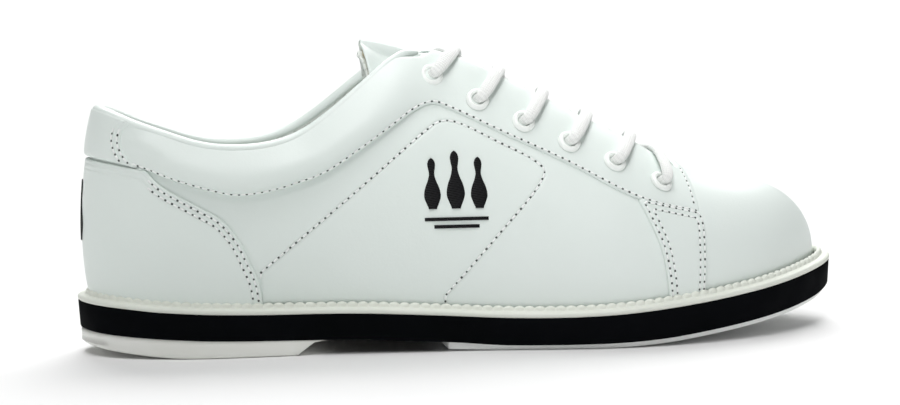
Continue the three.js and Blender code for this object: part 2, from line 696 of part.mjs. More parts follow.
// Raised in the open throat, kept low under the facings where the lace runs.
const tongueFace = (p) => {
  const side = Math.abs(p.y - ridgeSide(p.x));
  const open = 1 - smooth(2, 8.5, side);
  const tip = (TONGUE_DROP - TONGUE_TIP_DROP) * (1 - smooth(-44 * X, -28 * X, p.x));
  return -TONGUE_DROP + Math.max(tip, open * TONGUE_RAISE * (1 - smooth(50 * X, 72 * X, p.x)));
};
const isTongue = (trim) => (p) => {
  const side = Math.abs(p.y - ridgeSide(p.x));
  const tip = p.x - TONGUE_TIP - trim - 0.004 * side * side;
  return both(TONGUE_ROOT - trim - p.x, tip, tongueHalf(p.x) - trim - side, p.z - tongueLow(p.x) - trim);
};
const layer = (top, thick, trim) =>
  panel(isTongue(trim), (p) => tongueFace(p) - top, (p) => tongueFace(p) - top - thick);
add("tongue", layer(0, TONGUE_SKIN, 0), leather);
add("tongue_foam", layer(TONGUE_SKIN + GAP, TONGUE_FOAM, 2), foam);
add("tongue_lining", layer(TONGUE_SKIN + TONGUE_FOAM + 2 * GAP, TONGUE_SKIN, 0), liningCloth);

// ---- Lace: a bar over the toe-most pair, then each end crosses over and enters from outside ---
const eyeletTop = OVERLAY[1] + GAP + EYELET_RISE;
const laceOver = eyeletTop + LACE_RADIUS + 0.4;
const laceUnder = LINED[0] - GAP - LACE_RADIUS;
const off = (spot, h) => spot.p.clone().addScaledVector(spot.n, h);
const ridgePoint = (x, h) => new THREE.Vector3(x, ridgeSide(x), ridgeTop(x) + h);
const downEyelet = (spot) => [eyeletTop + LACE_RADIUS - 0.55, -0.4, LINED[0] - 0.8].map((h) => off(spot, h));
// Down through one eyelet and up in the throat, on the way to the far side.
function throughEyelet(k, side) {
  const spot = spots[k][side];
  const x = spot.p.x - 3 * X;
  return [
    ...downEyelet(spot),
    off(findOnLast(x, (spot.p.z + throatAt(x)) / 2, side), laceUnder - 0.9),
    off(findOnLast(x - 2, throatAt(x - 2) + 0.2, side), laceUnder - 0.7),
    findOnLast(x - 4, throatAt(x - 4), side).p.lerp(ridgePoint(x - 4, -0.6), 0.42),
  ];
}
const overEdge = (k, side) => {
  const x = spots[k][side].p.x + 4.5 * X;
  return off(findOnLast(x, throatAt(x) - 0.5, side), laceOver + 0.3);
};
function halfLace(first) {
  const points = [overEdge(5, first).add(new THREE.Vector3(-1.5 * X, 0, 0.5))];
  let side = first;
  for (let k = 5; k > 0; k--) {
    points.push(...throughEyelet(k, side));
    const middle = (spots[k][1].p.x + spots[k - 1][1].p.x) / 2;
    points.push(ridgePoint(middle, side < 0 ? LACE_LOW : LACE_HIGH));
    side = -side;
    points.push(overEdge(k - 1, side));
  }
  const spot = spots[0][side];
  points.push(...downEyelet(spot));
  for (const [x, z] of LACE_TAIL) points.push(off(findOnLast(x * X, z, side), laceUnder - 0.9));
  return points;
}
const halves = [halfLace(-1), halfLace(1)];
const lacePath = [...[...halves[0]].reverse(), ridgePoint(spots[5][1].p.x + 2.5, LACE_BAR), ...halves[1]];
add("lace", tube(lacePath, LACE_RADIUS, LACE_STEPS, 6), laceCloth);

const aglet = new THREE.CylinderGeometry(AGLET_RADIUS, AGLET_RADIUS, AGLET_LENGTH, 10);
halves.forEach((half, i) => {
  const [a, b] = half.slice(-2);
  const way = b.clone().sub(a).normalize();
  const g = aglet.clone();
  g.applyQuaternion(new THREE.Quaternion().setFromUnitVectors(new THREE.Vector3(0, 1, 0), way));
  g.translate(...b.clone().addScaledVector(way, AGLET_LENGTH / 2 + GAP).toArray());
  // The first half changes sides five times, so it ends opposite to where it starts.
  add(i ? "lateral_aglet" : "medial_aglet", g, plastic);
});

export default shoe;
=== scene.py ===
# %% [markdown]
# # A white lace-up bowling shoe
#
# The looks of a right-foot bowling shoe, built over its CAD frame. The upper is cut from one last
# surface with the same driving curves as the solids, so each leather panel, seam and stitch row
# stays where its solid is. Lengths are written in millimetres and turned into metres when a mesh
# is made. +X runs from heel to toe, +Y to the inner side of the foot, +Z up.

# %% Setup
import math
import bpy
import numpy as np
from mathutils import Matrix, Vector
from mathutils.bvhtree import BVHTree


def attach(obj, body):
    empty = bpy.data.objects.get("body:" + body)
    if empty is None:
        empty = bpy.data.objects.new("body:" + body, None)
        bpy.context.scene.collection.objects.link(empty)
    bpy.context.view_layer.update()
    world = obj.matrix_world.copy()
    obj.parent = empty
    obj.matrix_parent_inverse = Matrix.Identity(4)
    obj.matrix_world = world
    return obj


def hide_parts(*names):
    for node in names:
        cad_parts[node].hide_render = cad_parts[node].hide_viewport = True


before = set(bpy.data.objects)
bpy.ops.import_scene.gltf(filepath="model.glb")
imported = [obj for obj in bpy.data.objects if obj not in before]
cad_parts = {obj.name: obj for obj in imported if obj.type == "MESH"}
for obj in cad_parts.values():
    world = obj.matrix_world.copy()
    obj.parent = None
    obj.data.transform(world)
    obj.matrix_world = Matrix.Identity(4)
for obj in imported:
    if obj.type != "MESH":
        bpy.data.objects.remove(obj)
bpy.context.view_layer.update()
MM = 0.001


def linked(name, data):
    obj = bpy.data.objects.new(name, data)
    bpy.context.scene.collection.objects.link(obj)
    return obj


def unit(a):
    return a / np.linalg.norm(a, axis=-1, keepdims=True)


def reach_along(path):
    """Length from the start to each point of a path."""
    return np.r_[0, np.cumsum(np.linalg.norm(np.diff(path, axis=0), axis=1))]


def quads(rows, sides, closed=False):
    """Faces between rows of points, each row a ring, and the last row joined to the first if closed."""
    i, k = np.meshgrid(np.arange(rows if closed else rows - 1), np.arange(sides), indexing="ij")
    j, h = (i + 1) % rows, (k + 1) % sides
    return np.stack([i * sides + k, i * sides + h, j * sides + h, j * sides + k], -1).reshape(-1, 4)


# %% [markdown]
# ## Camera
#
# A slightly high side view of the outer side, turned a little towards the heel.

# %% Camera
AZIMUTH, ELEVATION, ROLL = math.radians(-9), math.radians(5), math.radians(1)
DISTANCE, LENS, TARGET = 0.8, 81.36, Vector((-0.006, 0, 0.05275))

back = Vector((
    math.sin(AZIMUTH) * math.cos(ELEVATION), -math.cos(AZIMUTH) * math.cos(ELEVATION), math.sin(ELEVATION),
))
level = Vector((math.cos(AZIMUTH), math.sin(AZIMUTH), 0))
upward = back.cross(level)
right = level * math.cos(ROLL) - upward * math.sin(ROLL)
top = level * math.sin(ROLL) + upward * math.cos(ROLL)
camera = linked("camera", bpy.data.cameras.new("camera"))
camera.data.lens = LENS
camera.data.sensor_width = 36
camera.matrix_world = Matrix((
    (right.x, top.x, back.x, TARGET.x + back.x * DISTANCE),
    (right.y, top.y, back.y, TARGET.y + back.y * DISTANCE),
    (right.z, top.z, back.z, TARGET.z + back.z * DISTANCE),
    (0, 0, 0, 1),
))
bpy.context.scene.camera = camera
bpy.context.scene.view_settings.view_transform = "Standard"

# %% [markdown]
# ## Driving curves
#
# `track` is a smooth curve through (x, value) points. The tables are those of the solids: the
# sole's plan, the heights along it, and the seam lines in side view.

# %% Curves
def track(points):
    xs, ys = np.array(points, float).T
    slope = np.array([
        (ys[min(i + 1, len(xs) - 1)] - ys[max(i - 1, 0)]) / (xs[min(i + 1, len(xs) - 1)] - xs[max(i - 1, 0)])
        for i in range(len(xs))
    ])

    def value(x):
        x = np.clip(np.asarray(x, float), xs[0], xs[-1])
        i = np.clip(np.searchsorted(xs, x) - 1, 0, len(xs) - 2)
        h = xs[i + 1] - xs[i]
        t = (x - xs[i]) / h
        return (
            (2 * t**3 - 3 * t**2 + 1) * ys[i] + (t**3 - 2 * t**2 + t) * h * slope[i]
            + (3 * t**2 - 2 * t**3) * ys[i + 1] + (t**3 - t**2) * h * slope[i + 1]
        )

    return value


def smooth(a, b, x):
    t = np.clip((x - a) / (b - a), 0, 1)
    return t * t * (3 - 2 * t)


def centripetal(points, cuts):
    """Points of a centripetal curve through the given ones, with cuts(p, q) steps in each span."""
    p = np.array(points, float)
    reach = np.r_[0, np.cumsum(np.sqrt(np.linalg.norm(np.diff(p, axis=0), axis=1)))]
    p = np.vstack([2 * p[0] - p[1], p, 2 * p[-1] - p[-2]])
    knots = np.r_[2 * reach[0] - reach[1], reach, 2 * reach[-1] - reach[-2]]
    out = []
    for i in range(1, len(p) - 2):
        k = knots[i - 1:i + 3]
        n = cuts(p[i], p[i + 1])
        for t in k[1] + (k[2] - k[1]) * np.arange(n) / n:
            a = [p[i - 1 + j] + (p[i + j] - p[i - 1 + j]) * (t - k[j]) / (k[j + 1] - k[j]) for j in range(3)]
            b = [a[j] + (a[j + 1] - a[j]) * (t - k[j]) / (k[j + 2] - k[j]) for j in range(2)]
            out.append(b[0] + (b[1] - b[0]) * (t - k[1]) / (k[2] - k[1]))
    return out + [p[-2]]


def rounded(points, step=1.0):
    """A denser line through the points, with its corners softened."""
    return np.array(centripetal(points, lambda p, q: max(2, int(np.linalg.norm(q - p) / step))))


def outline(*parts):
    """Signed distance to a closed outline of (x, z) points, positive inside."""
    loop = np.vstack([np.array(part, float).reshape(-1, 2) for part in parts])
    a, b = loop, np.roll(loop, -1, axis=0)
    e = b - a

    def distance(x, z):
        nearest = np.full(x.shape, 1e9)
        inside = np.zeros(x.shape, bool)
        for (ax, az), (bx, bz), (ex, ez) in zip(a, b, e):
            k = np.clip(((x - ax) * ex + (z - az) * ez) / max(ex * ex + ez * ez, 1e-12), 0, 1)
            nearest = np.minimum(nearest, np.hypot(x - ax - k * ex, z - az - k * ez))
            if az != bz:
                inside ^= ((az > z) != (bz > z)) & (x < ax + (z - az) / ez * ex)
        return np.where(inside, nearest, -nearest)

    return distance


HALF = 151.0
EDGE_LATERAL = [-22.5, -34.5, -36.5, -43, -51, -39, -14.5]
EDGE_MEDIAL = [22, 33, 32, 37.5, 48, 48.5, 34]
STATIONS = [-HALF * math.cos(math.pi * (i + 1) / 8) for i in range(7)]
EDGE = np.array(
    [(-HALF, 0.0), *zip(STATIONS, EDGE_LATERAL), (HALF, 8.5), *list(zip(STATIONS, EDGE_MEDIAL))[::-1]]
)


def edge(u):
    u = np.mod(u, 1) * 16
    i = np.floor(u).astype(int) % 16
    w = (u - np.floor(u))[..., None]
    p0, p1, p2, p3 = (EDGE[(i + k) % 16] for k in (-1, 0, 1, 2))
    t0, t1 = (p2 - p0) / 2, (p3 - p1) / 2
    return p1 + t0 * w + (3 * (p2 - p1) - 2 * t0 - t1) * w**2 + (2 * (p1 - p2) + t0 + t1) * w**3


def edge_inward(u):
    d = edge(u + 0.004) - edge(u - 0.004)
    return unit(np.stack([-d[..., 1], d[..., 0]], -1))


midsole_top = track([
    [-151, 20.4], [-136, 19.3], [-121, 17.9], [-101, 16.8], [-80, 16.1], [-46, 15.5], [-19, 14.2],
    [12, 12.5], [42, 12.7], [74, 15], [110, 19], [138, 23.1], [151, 25.6],
])
midsole_base = track([
    [-151, 9.8], [-136, 8.6], [-121, 7.6], [-101, 6.6], [-66, 5.7], [-46, 5.5], [-19, 3.9],
    [12, 2.8], [42, 2.8], [60, 3.4], [74, 4.4], [110, 8.5], [138, 12.9], [151, 16.8],
])
heel_floor = track([[-151, 4.4], [-143, 3.2], [-130, 1.6], [-118, 0.4], [-110, 0], [-50, 0]])
ridge_top = track([
    [-118, 130], [-80, 129], [-60, 127], [-45, 123.5], [-30, 120.5], [-15, 116], [0, 111.6],
    [16, 103.4], [32, 94.8], [50, 85.4], [65, 77.5], [81, 67.3], [95, 61.3], [106, 58.8],
])
ridge_side = track([[-118, 0], [0, 0], [60, 3], [106, 6]])
roundness = track([[-144, 2.4], [-60, 2.3], [0, 2.15], [60, 2.15], [110, 2.35], [144, 2.4]])
bulge = track([[-144, 3.7], [-110, 3.6], [-60, 3.0], [0, 2.6], [60, 2.6], [110, 1.6], [144, 0.6]])

TOPLINE = rounded([
    [-160, 97], [-142, 94], [-135, 91.5], [-128, 88.5], [-116, 84.2], [-106, 80.8], [-97, 79.2],
    [-88, 78.9], [-77, 80], [-67, 83.3], [-56, 90.4], [-40, 103.2], [-30, 111], [-24, 113.5], [-19, 114],
])
THROAT_POINTS = [[-13.5, 112.4], [-2, 108.8], [16, 99.8], [32, 91.6], [50, 82.4], [65, 75], [81, 64.8]]
THROAT = rounded(THROAT_POINTS)
SEAM = rounded([
    [-160, 77], [-145, 75.6], [-133, 73.4], [-124, 70.4], [-114, 66.4], [-100, 61.9], [-92, 60.2],
    [-85, 60.4], [-76, 61.9], [-68, 64.1], [-58, 67.5], [-45, 75.4], [-32, 84.1], [-22, 90.8], [-16, 92.5],
    [-9, 90.1], [9, 81.2], [32, 70.1], [62, 54.4], [86, 47.8],
])
COUNTER = rounded([
    [-124, 70.4], [-119, 65], [-107, 57.8], [-97, 51.8], [-90.5, 43.9], [-86.8, 36], [-83.3, 27], [-81.5, 10],
])
TAB = rounded([[-124, 70.4], [-129, 73.6], [-131.4, 77.5], [-132.2, 81.5], [-131.2, 85], [-128, 88.6]])
BAND_BACK = rounded([[60.2, 55.3], [64, 46.4], [67.8, 36], [70.3, 18], [70.6, 6]])
BAND_FRONT = rounded([[84.5, 66], [85.6, 55], [85.8, 49], [86.8, 45], [86.4, 35], [85.3, 17], [85, 6]])
CHEVRON = rounded([
    [-83, 31.4], [-66, 45], [-49.6, 58.2], [-34, 71], [-19, 83], [-14, 86], [-8.6, 86], [8.3, 77.8],
    [21.5, 70.6], [25, 66.8], [22.8, 62], [6.4, 43.5], [-14, 20.8],
])
print("curves:", len(SEAM), "seam points,", len(TOPLINE), "topline points")

# %% [markdown]
# ## The last surface
#
# Each wall rises from its foot, just inside the welt, to a ridge over the shoe's middle. A fine
# grid of it is kept as one table of vertices: position, normal and the distances to every seam.

# %% Last surface
WELT_INSET, LEATHER, GAP = 5.2, 1.2, 0.3
BASE_INSET = WELT_INSET + GAP + LEATHER + GAP


def last_point(u, t):
    foot = edge(u) + edge_inward(u) * BASE_INSET
    out = -edge_inward(u)
    k = np.clip(foot[..., 0] / (HALF - BASE_INSET), -1, 1)
    x = -6.5 + 111.5 * k * (1.5 - 0.5 * k * k)
    power = 2 / roundness(foot[..., 0])
    a = np.clip(t, 0, 1) * math.pi / 2
    inward, up = np.cos(a) ** power, np.sin(a) ** power
    swell = bulge(foot[..., 0]) * np.sin(math.pi * up**0.58)
    base = midsole_top(foot[..., 0]) + GAP
    return np.stack([
        x + (foot[..., 0] - x) * inward + out[..., 0] * swell,
        ridge_side(x) + (foot[..., 1] - ridge_side(x)) * inward + out[..., 1] * swell,
        base + (ridge_top(x) - base) * up,
    ], -1)


def last_normal(u, t):
    tc = np.clip(t, 0.012, 0.985)
    a = last_point(u + 0.003, tc) - last_point(u - 0.003, tc)
    b = last_point(u, tc + 0.01) - last_point(u, tc - 0.01)
    n = np.cross(a, b)
    n[..., 1] *= np.where(t > 0.985, 0.2, 1)
    return unit(n)


TOP_DROP = 4.1
far = 400
under_binding = TOPLINE - [0, TOP_DROP]
shape_of = {
    "upper": outline(under_binding, THROAT, [[81, 120], [far, 120], [far, -60], [-far, -60], [-far, 92]]),
    "rim": outline(TOPLINE, [[-13.5, 300], [-far, 300], [-far, 97]]),
    "above": outline(SEAM, [[far, 20], [far, far], [-far, far], [-far, 77]]),
    "counter": outline([[-far, 77], [-160, 77]], COUNTER, [[-81, -60], [-far, -60]]),
    "tab": outline([[-far, 60], [-124, 60]], TAB, [[-128, 140], [-far, 140]]),
    "band": outline(BAND_BACK, BAND_FRONT[BAND_FRONT[:, 1] < 49.2][::-1]),
    "facing": outline(
        SEAM[SEAM[:, 0] < 85.7], BAND_FRONT[BAND_FRONT[:, 1] > 49.4][::-1],
        [[84, 200], [-far, 200], [-far, 77]],
    ),
    "chevron": outline(CHEVRON, [[-14, -60], [-83, -60]]),
}
COLUMNS = ["x", "y", "z", "nx", "ny", "nz", "side", "lip", *shape_of]
COL = {name: i for i, name in enumerate(COLUMNS)}


def col(v, name):
    return v[:, COL[name]]


def last_grid(around, rows):
    """Vertices with their columns, and triangles, of the last at one fineness."""
    u, t = np.meshgrid(np.arange(around) / around, np.linspace(0, 1, rows + 1))
    p, n = last_point(u, t).reshape(-1, 3), last_normal(u, t).reshape(-1, 3)
    cols = [p, n, (p[:, 1] - ridge_side(p[:, 0]))[:, None], (p[:, 2] - midsole_top(p[:, 0]))[:, None]]
    cols += [f(p[:, 0], p[:, 2])[:, None] for f in shape_of.values()]
    i, j = np.meshgrid(np.arange(around), np.arange(rows))
    a, b = j * around + i, j * around + (i + 1) % around
    c, d = b + around, a + around
    ids = np.arange(around * (rows + 1))
    ring = np.arange(around)
    ids[rows * around + ring] = rows * around + np.where(ring > around // 2, around - ring, ring)
    tris = np.concatenate([np.stack([a, b, c], -1).reshape(-1, 3), np.stack([a, c, d], -1).reshape(-1, 3)])
    tris = ids[tris]
    good = (tris[:, 0] != tris[:, 1]) & (tris[:, 1] != tris[:, 2]) & (tris[:, 0] != tris[:, 2])
    return np.hstack(cols), tris[good]


FINE = last_grid(560, 150)
print("last surface:", len(FINE[0]), "vertices,", len(FINE[1]), "triangles")

# %% [markdown]
# ## Cutting panels out of it
#
# `slice_at` adds vertices along a level line of one column. `panel` keeps the inside of a region,
# adds a few level lines beside its edge, and lifts it as a closed shell whose outer edge is rounded
# like folded leather. `level_lines` returns such lines as ordered chains for stitching.

# %% Cutting tools
def slice_at(v, tris, f, level):
    """v, tris and f with new vertices where f crosses level, and the chains' segments."""
    s = f - level
    s = np.where(np.abs(s) < 1e-3, np.where(s < 0, -1e-3, 1e-3), s)
    sign = (s > 0)[tris]
    count = sign.sum(1)
    crossing = (count == 1) | (count == 2)
    t, sg = tris[crossing], sign[crossing]
    alone = (count[crossing] == 1)
    first = np.argmax(sg == alone[:, None], axis=1)
    rows = np.arange(len(t))
    a, b, c = t[rows, first], t[rows, (first + 1) % 3], t[rows, (first + 2) % 3]
    pairs = np.sort(np.concatenate([np.stack([a, b], -1), np.stack([a, c], -1)]), axis=1)
    unique, inverse = np.unique(pairs, axis=0, return_inverse=True)
    inverse = inverse.reshape(-1)
    k = (s[unique[:, 0]] / (s[unique[:, 0]] - s[unique[:, 1]]))[:, None]
    new = v[unique[:, 0]] * (1 - k) + v[unique[:, 1]] * k
    start = len(v)
    p, q = start + inverse[:len(t)], start + inverse[len(t):]
    parts = [np.stack(x, -1) for x in ((a, p, q), (p, b, c), (p, c, q))]
    segments = np.stack([np.where(alone, p, q), np.where(alone, q, p)], -1)
    f = np.concatenate([np.where(np.abs(f - level) < 1e-3, level + s, f), np.full(len(new), level)])
    return np.vstack([v, new]), np.concatenate([tris[~crossing], *parts]), f, segments


def compact(v, tris, *fields):
    used, inverse = np.unique(tris, return_inverse=True)
    return (v[used], inverse.reshape(-1, 3), *[f[used] for f in fields])


def mesh_object(name, co, faces, material):
    mesh = bpy.data.meshes.new(name)
    faces = faces.tolist() if isinstance(faces, np.ndarray) else faces
    mesh.from_pydata((np.asarray(co) * MM).tolist(), [], faces)
    mesh.update()
    mesh.polygons.foreach_set("use_smooth", [True] * len(mesh.polygons))
    obj = linked(name, mesh)
    if material:
        mesh.materials.append(material)
    return obj


def attribute(obj, name, values):
    a = obj.data.attributes.new(name, "FLOAT", "POINT")
    a.data.foreach_set("value", np.asarray(values, np.float32))


def stand_for(obj, body, slot, *nodes):
    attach(obj, body)
    if nodes:
        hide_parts(*nodes)
    return obj


def region(v, *names):
    """The smallest of several signed columns: '-name' turns one over, and numbers are insets."""
    value = np.full(len(v), 1e9)
    for name, inset in names:
        column = -v[:, COL[name[1:]]] if name[0] == "-" else v[:, COL[name]]
        value = np.minimum(value, column - inset)
    return value


PANELS = {}


def panel(name, names, outer, inner, material,
          grid=None, extra=None, fold=1.0, body="shoe", slot="white_leather"):
    """A closed shell over the region, from height inner to outer, its outer edge rounded."""
    v, tris = grid or FINE
    f = region(v, *names)
    if extra is not None:
        f = np.minimum(f, extra(v))
    v, tris, f, _ = slice_at(v, tris, f, 0)
    tris = tris[f[tris].max(1) > 1e-3]
    v, tris, f = compact(v, tris, f)
    for level in (fold * 0.12, fold * 0.4, fold * 0.95):
        v, tris, f, _ = slice_at(v, tris, f, level)
    v, tris, f = compact(v, tris, f)
    high = outer(v) if callable(outer) else np.full(len(v), float(outer))
    low = inner(v) if callable(inner) else np.full(len(v), float(inner))
    turn = np.sqrt(1 - (1 - np.clip(f / fold, 0, 1)) ** 2)
    depth = np.minimum(fold, high - low)
    height = high - depth * (1 - turn)
    co, n = v[:, :3], v[:, 3:6]
    up, down = co + n * height[:, None], co + n * low[:, None]
    edges = np.concatenate([tris[:, [0, 1]], tris[:, [1, 2]], tris[:, [2, 0]]])
    code = edges[:, 0] * len(v) + edges[:, 1]
    back_code = edges[:, 1] * len(v) + edges[:, 0]
    rim = edges[~np.isin(code, back_code)]
    m = len(v)
    wall = np.concatenate([
        np.stack([rim[:, 0], rim[:, 0] + m, rim[:, 1] + m], -1),
        np.stack([rim[:, 0], rim[:, 1] + m, rim[:, 1]], -1),
    ])
    faces = np.concatenate([tris, tris[:, ::-1] + m, wall])
    obj = mesh_object(name + "_skin", np.vstack([up, down]), faces, material)
    attribute(obj, "edge", np.tile(f, 2))
    for column in ("above", "chevron", "counter", "tab", "rim"):
        attribute(obj, column, np.tile(v[:, COL[column]], 2))
    PANELS[name] = (np.hstack([up, v[:, 3:]]), tris, f)
    return stand_for(obj, body, slot, name)


def chains(segments, v):
    """Ordered runs of vertex rows from loose segments."""
    after = dict(map(tuple, segments))
    starts = set(after) - set(after.values())
    runs = []
    while after:
        at = starts.pop() if starts else next(iter(after))
        run = [at]
        while at in after:
            at = after.pop(at)
            run.append(at)
        if len(run) > 3:
            runs.append(v[run])
    return runs


def level_lines(name, column, level, keep=None):
    """Chains on a panel's outer face where a column, or its own edge distance, is at a level."""
    v, tris, f = PANELS[name]
    values = f if column == "edge" else v[:, COL[column]]
    v2, _, _, segments = slice_at(v, tris, values, level)
    runs = []
    for run in chains(segments, v2):
        wanted = np.ones(len(run), bool) if keep is None else keep(run)
        for part in np.split(np.arange(len(run)), np.flatnonzero(np.diff(wanted.astype(int))) + 1):
            if wanted[part[0]] and len(part) > 3:
                runs.append(run[part])
    return runs

# %% [markdown]
# ## Materials
#
# `Value` wraps a shader socket so that the maths of grain, creases and stitch grooves reads like
# a formula. Only colour, roughness and the normal vary over a surface.

# %% Shader tools
def feed(tree, socket, x):
    """Link a value or a socket, or set a constant."""
    if isinstance(x, Value):
        tree.links.new(x.socket, socket)
    elif isinstance(x, bpy.types.NodeSocket):
        tree.links.new(x, socket)
    else:
        socket.default_value = x


class Value:
    def __init__(self, tree, socket):
        self.tree, self.socket = tree, socket

    def _math(self, operation, *others):
        node = self.tree.nodes.new("ShaderNodeMath")
        node.operation = operation
        for k, x in enumerate([self, *others]):
            feed(self.tree, node.inputs[k], x)
        return Value(self.tree, node.outputs[0])

    def __add__(self, o): return self._math("ADD", o)
    def __sub__(self, o): return self._math("SUBTRACT", o)
    def __mul__(self, o): return self._math("MULTIPLY", o)
    def __truediv__(self, o): return self._math("DIVIDE", o)
    def abs(self): return self._math("ABSOLUTE")
    def sin(self): return self._math("SINE")
    def exp(self): return self._math("EXPONENT")
    def min(self, o): return self._math("MINIMUM", o)

    def ramp(self, low, high, start=0.0, end=1.0):
        node = self.tree.nodes.new("ShaderNodeMapRange")
        node.interpolation_type = "SMOOTHSTEP"
        self.tree.links.new(self.socket, node.inputs["Value"])
        for key, x in (("From Min", low), ("From Max", high), ("To Min", start), ("To Max", end)):
            node.inputs[key].default_value = x
        return Value(self.tree, node.outputs["Result"])


class Shader:
    """One Principled material with helpers for its textures."""

    def __init__(self, name, color, roughness, constants=None):
        self.material = bpy.data.materials.new(name)
        self.material.use_nodes = True
        self.tree = self.material.node_tree
        self.bsdf = self.tree.nodes["Principled BSDF"]
        self.bsdf.inputs["Base Color"].default_value = (*color, 1)
        self.bsdf.inputs["Roughness"].default_value = roughness
        for key, x in (constants or {}).items():
            self.bsdf.inputs[key].default_value = x
        self.where = self.tree.nodes.new("ShaderNodeTexCoord").outputs["Object"]

    def node(self, kind, inputs=(), output=0, **settings):
        made = self.tree.nodes.new(kind)
        for key, x in settings.items():
            setattr(made, key, x)
        for key, x in dict(inputs).items():
            feed(self.tree, made.inputs[key], x)
        return Value(self.tree, made.outputs[output])

    def noise(self, scale, detail=2.0, roughness=0.5, stretch=None):
        where = self.where
        if stretch:
            where = self.node("ShaderNodeMapping", {"Vector": where, "Scale": stretch}).socket
        return self.node("ShaderNodeTexNoise", {
            "Vector": where, "Scale": scale, "Detail": detail, "Roughness": roughness,
        })

    def cells(self, scale, output="Distance", **settings):
        return self.node("ShaderNodeTexVoronoi", {"Vector": self.where, "Scale": scale}, output, **settings)

    def field(self, name):
        return self.node("ShaderNodeAttribute", output="Fac", attribute_name=name)

    def mix(self, factor, a, b):
        made = self.tree.nodes.new("ShaderNodeMix")
        made.data_type = "RGBA"
        self.tree.links.new(factor.socket, made.inputs["Factor"])
        for key, x in (("A", a), ("B", b)):
            socket = [s for s in made.inputs if s.name == key and s.type == "RGBA"][0]
            feed(self.tree, socket, x if isinstance(x, Value) else (*x, 1))
        return Value(self.tree, [s for s in made.outputs if s.type == "RGBA"][0])

    def drive(self, key, value):
        self.tree.links.new(value.socket, self.bsdf.inputs[key])

    def bump(self, height, strength, distance):
        bumped = self.node("ShaderNodeBump", {"Height": height, "Strength": strength, "Distance": distance})
        self.tree.links.new(bumped.socket, self.bsdf.inputs["Normal"])


# %% Materials
def leather_material(name, seams):
    """Smooth white leather: fine pores, faint creases, and grooves where the seams pull it in."""
    s = Shader(name, (0.8, 0.87, 0.835), 0.42, {"Coat Weight": 0.12, "Coat Roughness": 0.35})
    pores = s.cells(1400, feature="SMOOTH_F1") * 0.10
    grain = s.noise(520, 3, 0.6) * 0.16
    wrinkle = s.noise(60, 3, 0.55, stretch=(1, 1, 1.6)) * 0.5
    sag = s.noise(16, 2, 0.5) * 3.2
    height = pores + grain + wrinkle + sag
    for column, level, width, depth in seams:
        d = ((s.field(column) - level).abs() / width).min(3.0)
        height = height - (d * d * -1.0).exp() * depth
    s.bump(height, 0.85, 0.00022)
    tone = s.noise(9, 2, 0.5).ramp(0.3, 0.7)
    s.drive("Base Color", s.mix(tone, (0.79, 0.862, 0.825), (0.815, 0.88, 0.85)))
    s.drive("Roughness", s.noise(40, 3, 0.6).ramp(0.3, 0.75, 0.36, 0.5))
    return s.material


# How far each stitch row lies from its seam or edge. The grooves in the leather follow the rows.
SEAM_ROW, FRONT_ROW = 0.7, 2.2
BAND_ROWS, COUNTER_ROWS, TAB_ROWS = (1.2, 3.1), (1.6, 3.6), (1.0, 2.9)


def grooves(column, *levels, width=0.5, depth=1.2):
    return [(column, level, width, depth) for level in levels]


leather = leather_material("white_leather", [])
quarter_leather = leather_material("quarter_leather", grooves("chevron", 0, width=0.7, depth=1.6))
facing_leather = leather_material("facing_leather", grooves("above", SEAM_ROW, width=0.6, depth=0.8))
edged_leather = leather_material("edged_leather", grooves("counter", *COUNTER_ROWS))
band_leather = leather_material("band_leather", grooves("edge", *BAND_ROWS))
tab_leather = leather_material("tab_leather", grooves("tab", *TAB_ROWS))


def mesh_cloth():
    """White spacer mesh: small round cells in an offset grid."""
    s = Shader("lining_mesh", (0.8, 0.805, 0.79), 0.9, {"Sheen Weight": 0.2})
    cell = s.cells(620).ramp(0.2, 0.5)
    s.bump(cell + s.noise(2600, 2, 0.5) * 0.2, 0.5, 0.0002)
    # The cells' sunken middles are painted darker: painted shade in the mesh's openings.
    s.drive("Base Color", s.mix(cell, (0.72, 0.76, 0.72), (0.9, 0.935, 0.905)))
    return s.material


def knit_lace():
    """A braided lace: slanted ribs both ways, from the lace's own length and turn."""
    s = Shader("lace_braid", (0.93, 0.945, 0.925), 0.8, {"Sheen Weight": 0.25})
    along, turn = s.field("along"), s.field("turn")
    rib = (along * 3.2 + turn * 9.4).sin() * (along * 3.2 - turn * 9.4).sin()
    s.bump(rib.ramp(-0.6, 0.6) + s.noise(3000, 2, 0.6) * 0.3, 0.7, 0.0002)
    # Darker in the grooves between the ribs: painted shade.
    s.drive("Base Color", s.mix(rib.ramp(-0.9, 0.4), (0.84, 0.86, 0.84), (0.94, 0.955, 0.935)))
    return s.material


def rubber(name, color, dark, roughness, grain, shine=0.4):
    s = Shader(name, color, roughness, {"Specular IOR Level": shine})
    s.bump(s.noise(900, 3, 0.6) * 0.6 + s.noise(70, 2, 0.5), grain, 0.00012)
    s.drive("Base Color", s.mix(s.noise(25, 3, 0.6).ramp(0.35, 0.7), dark, color))
    s.drive("Roughness", s.noise(120, 2, 0.5).ramp(0.3, 0.7, roughness - 0.06, roughness + 0.08))
    return s.material


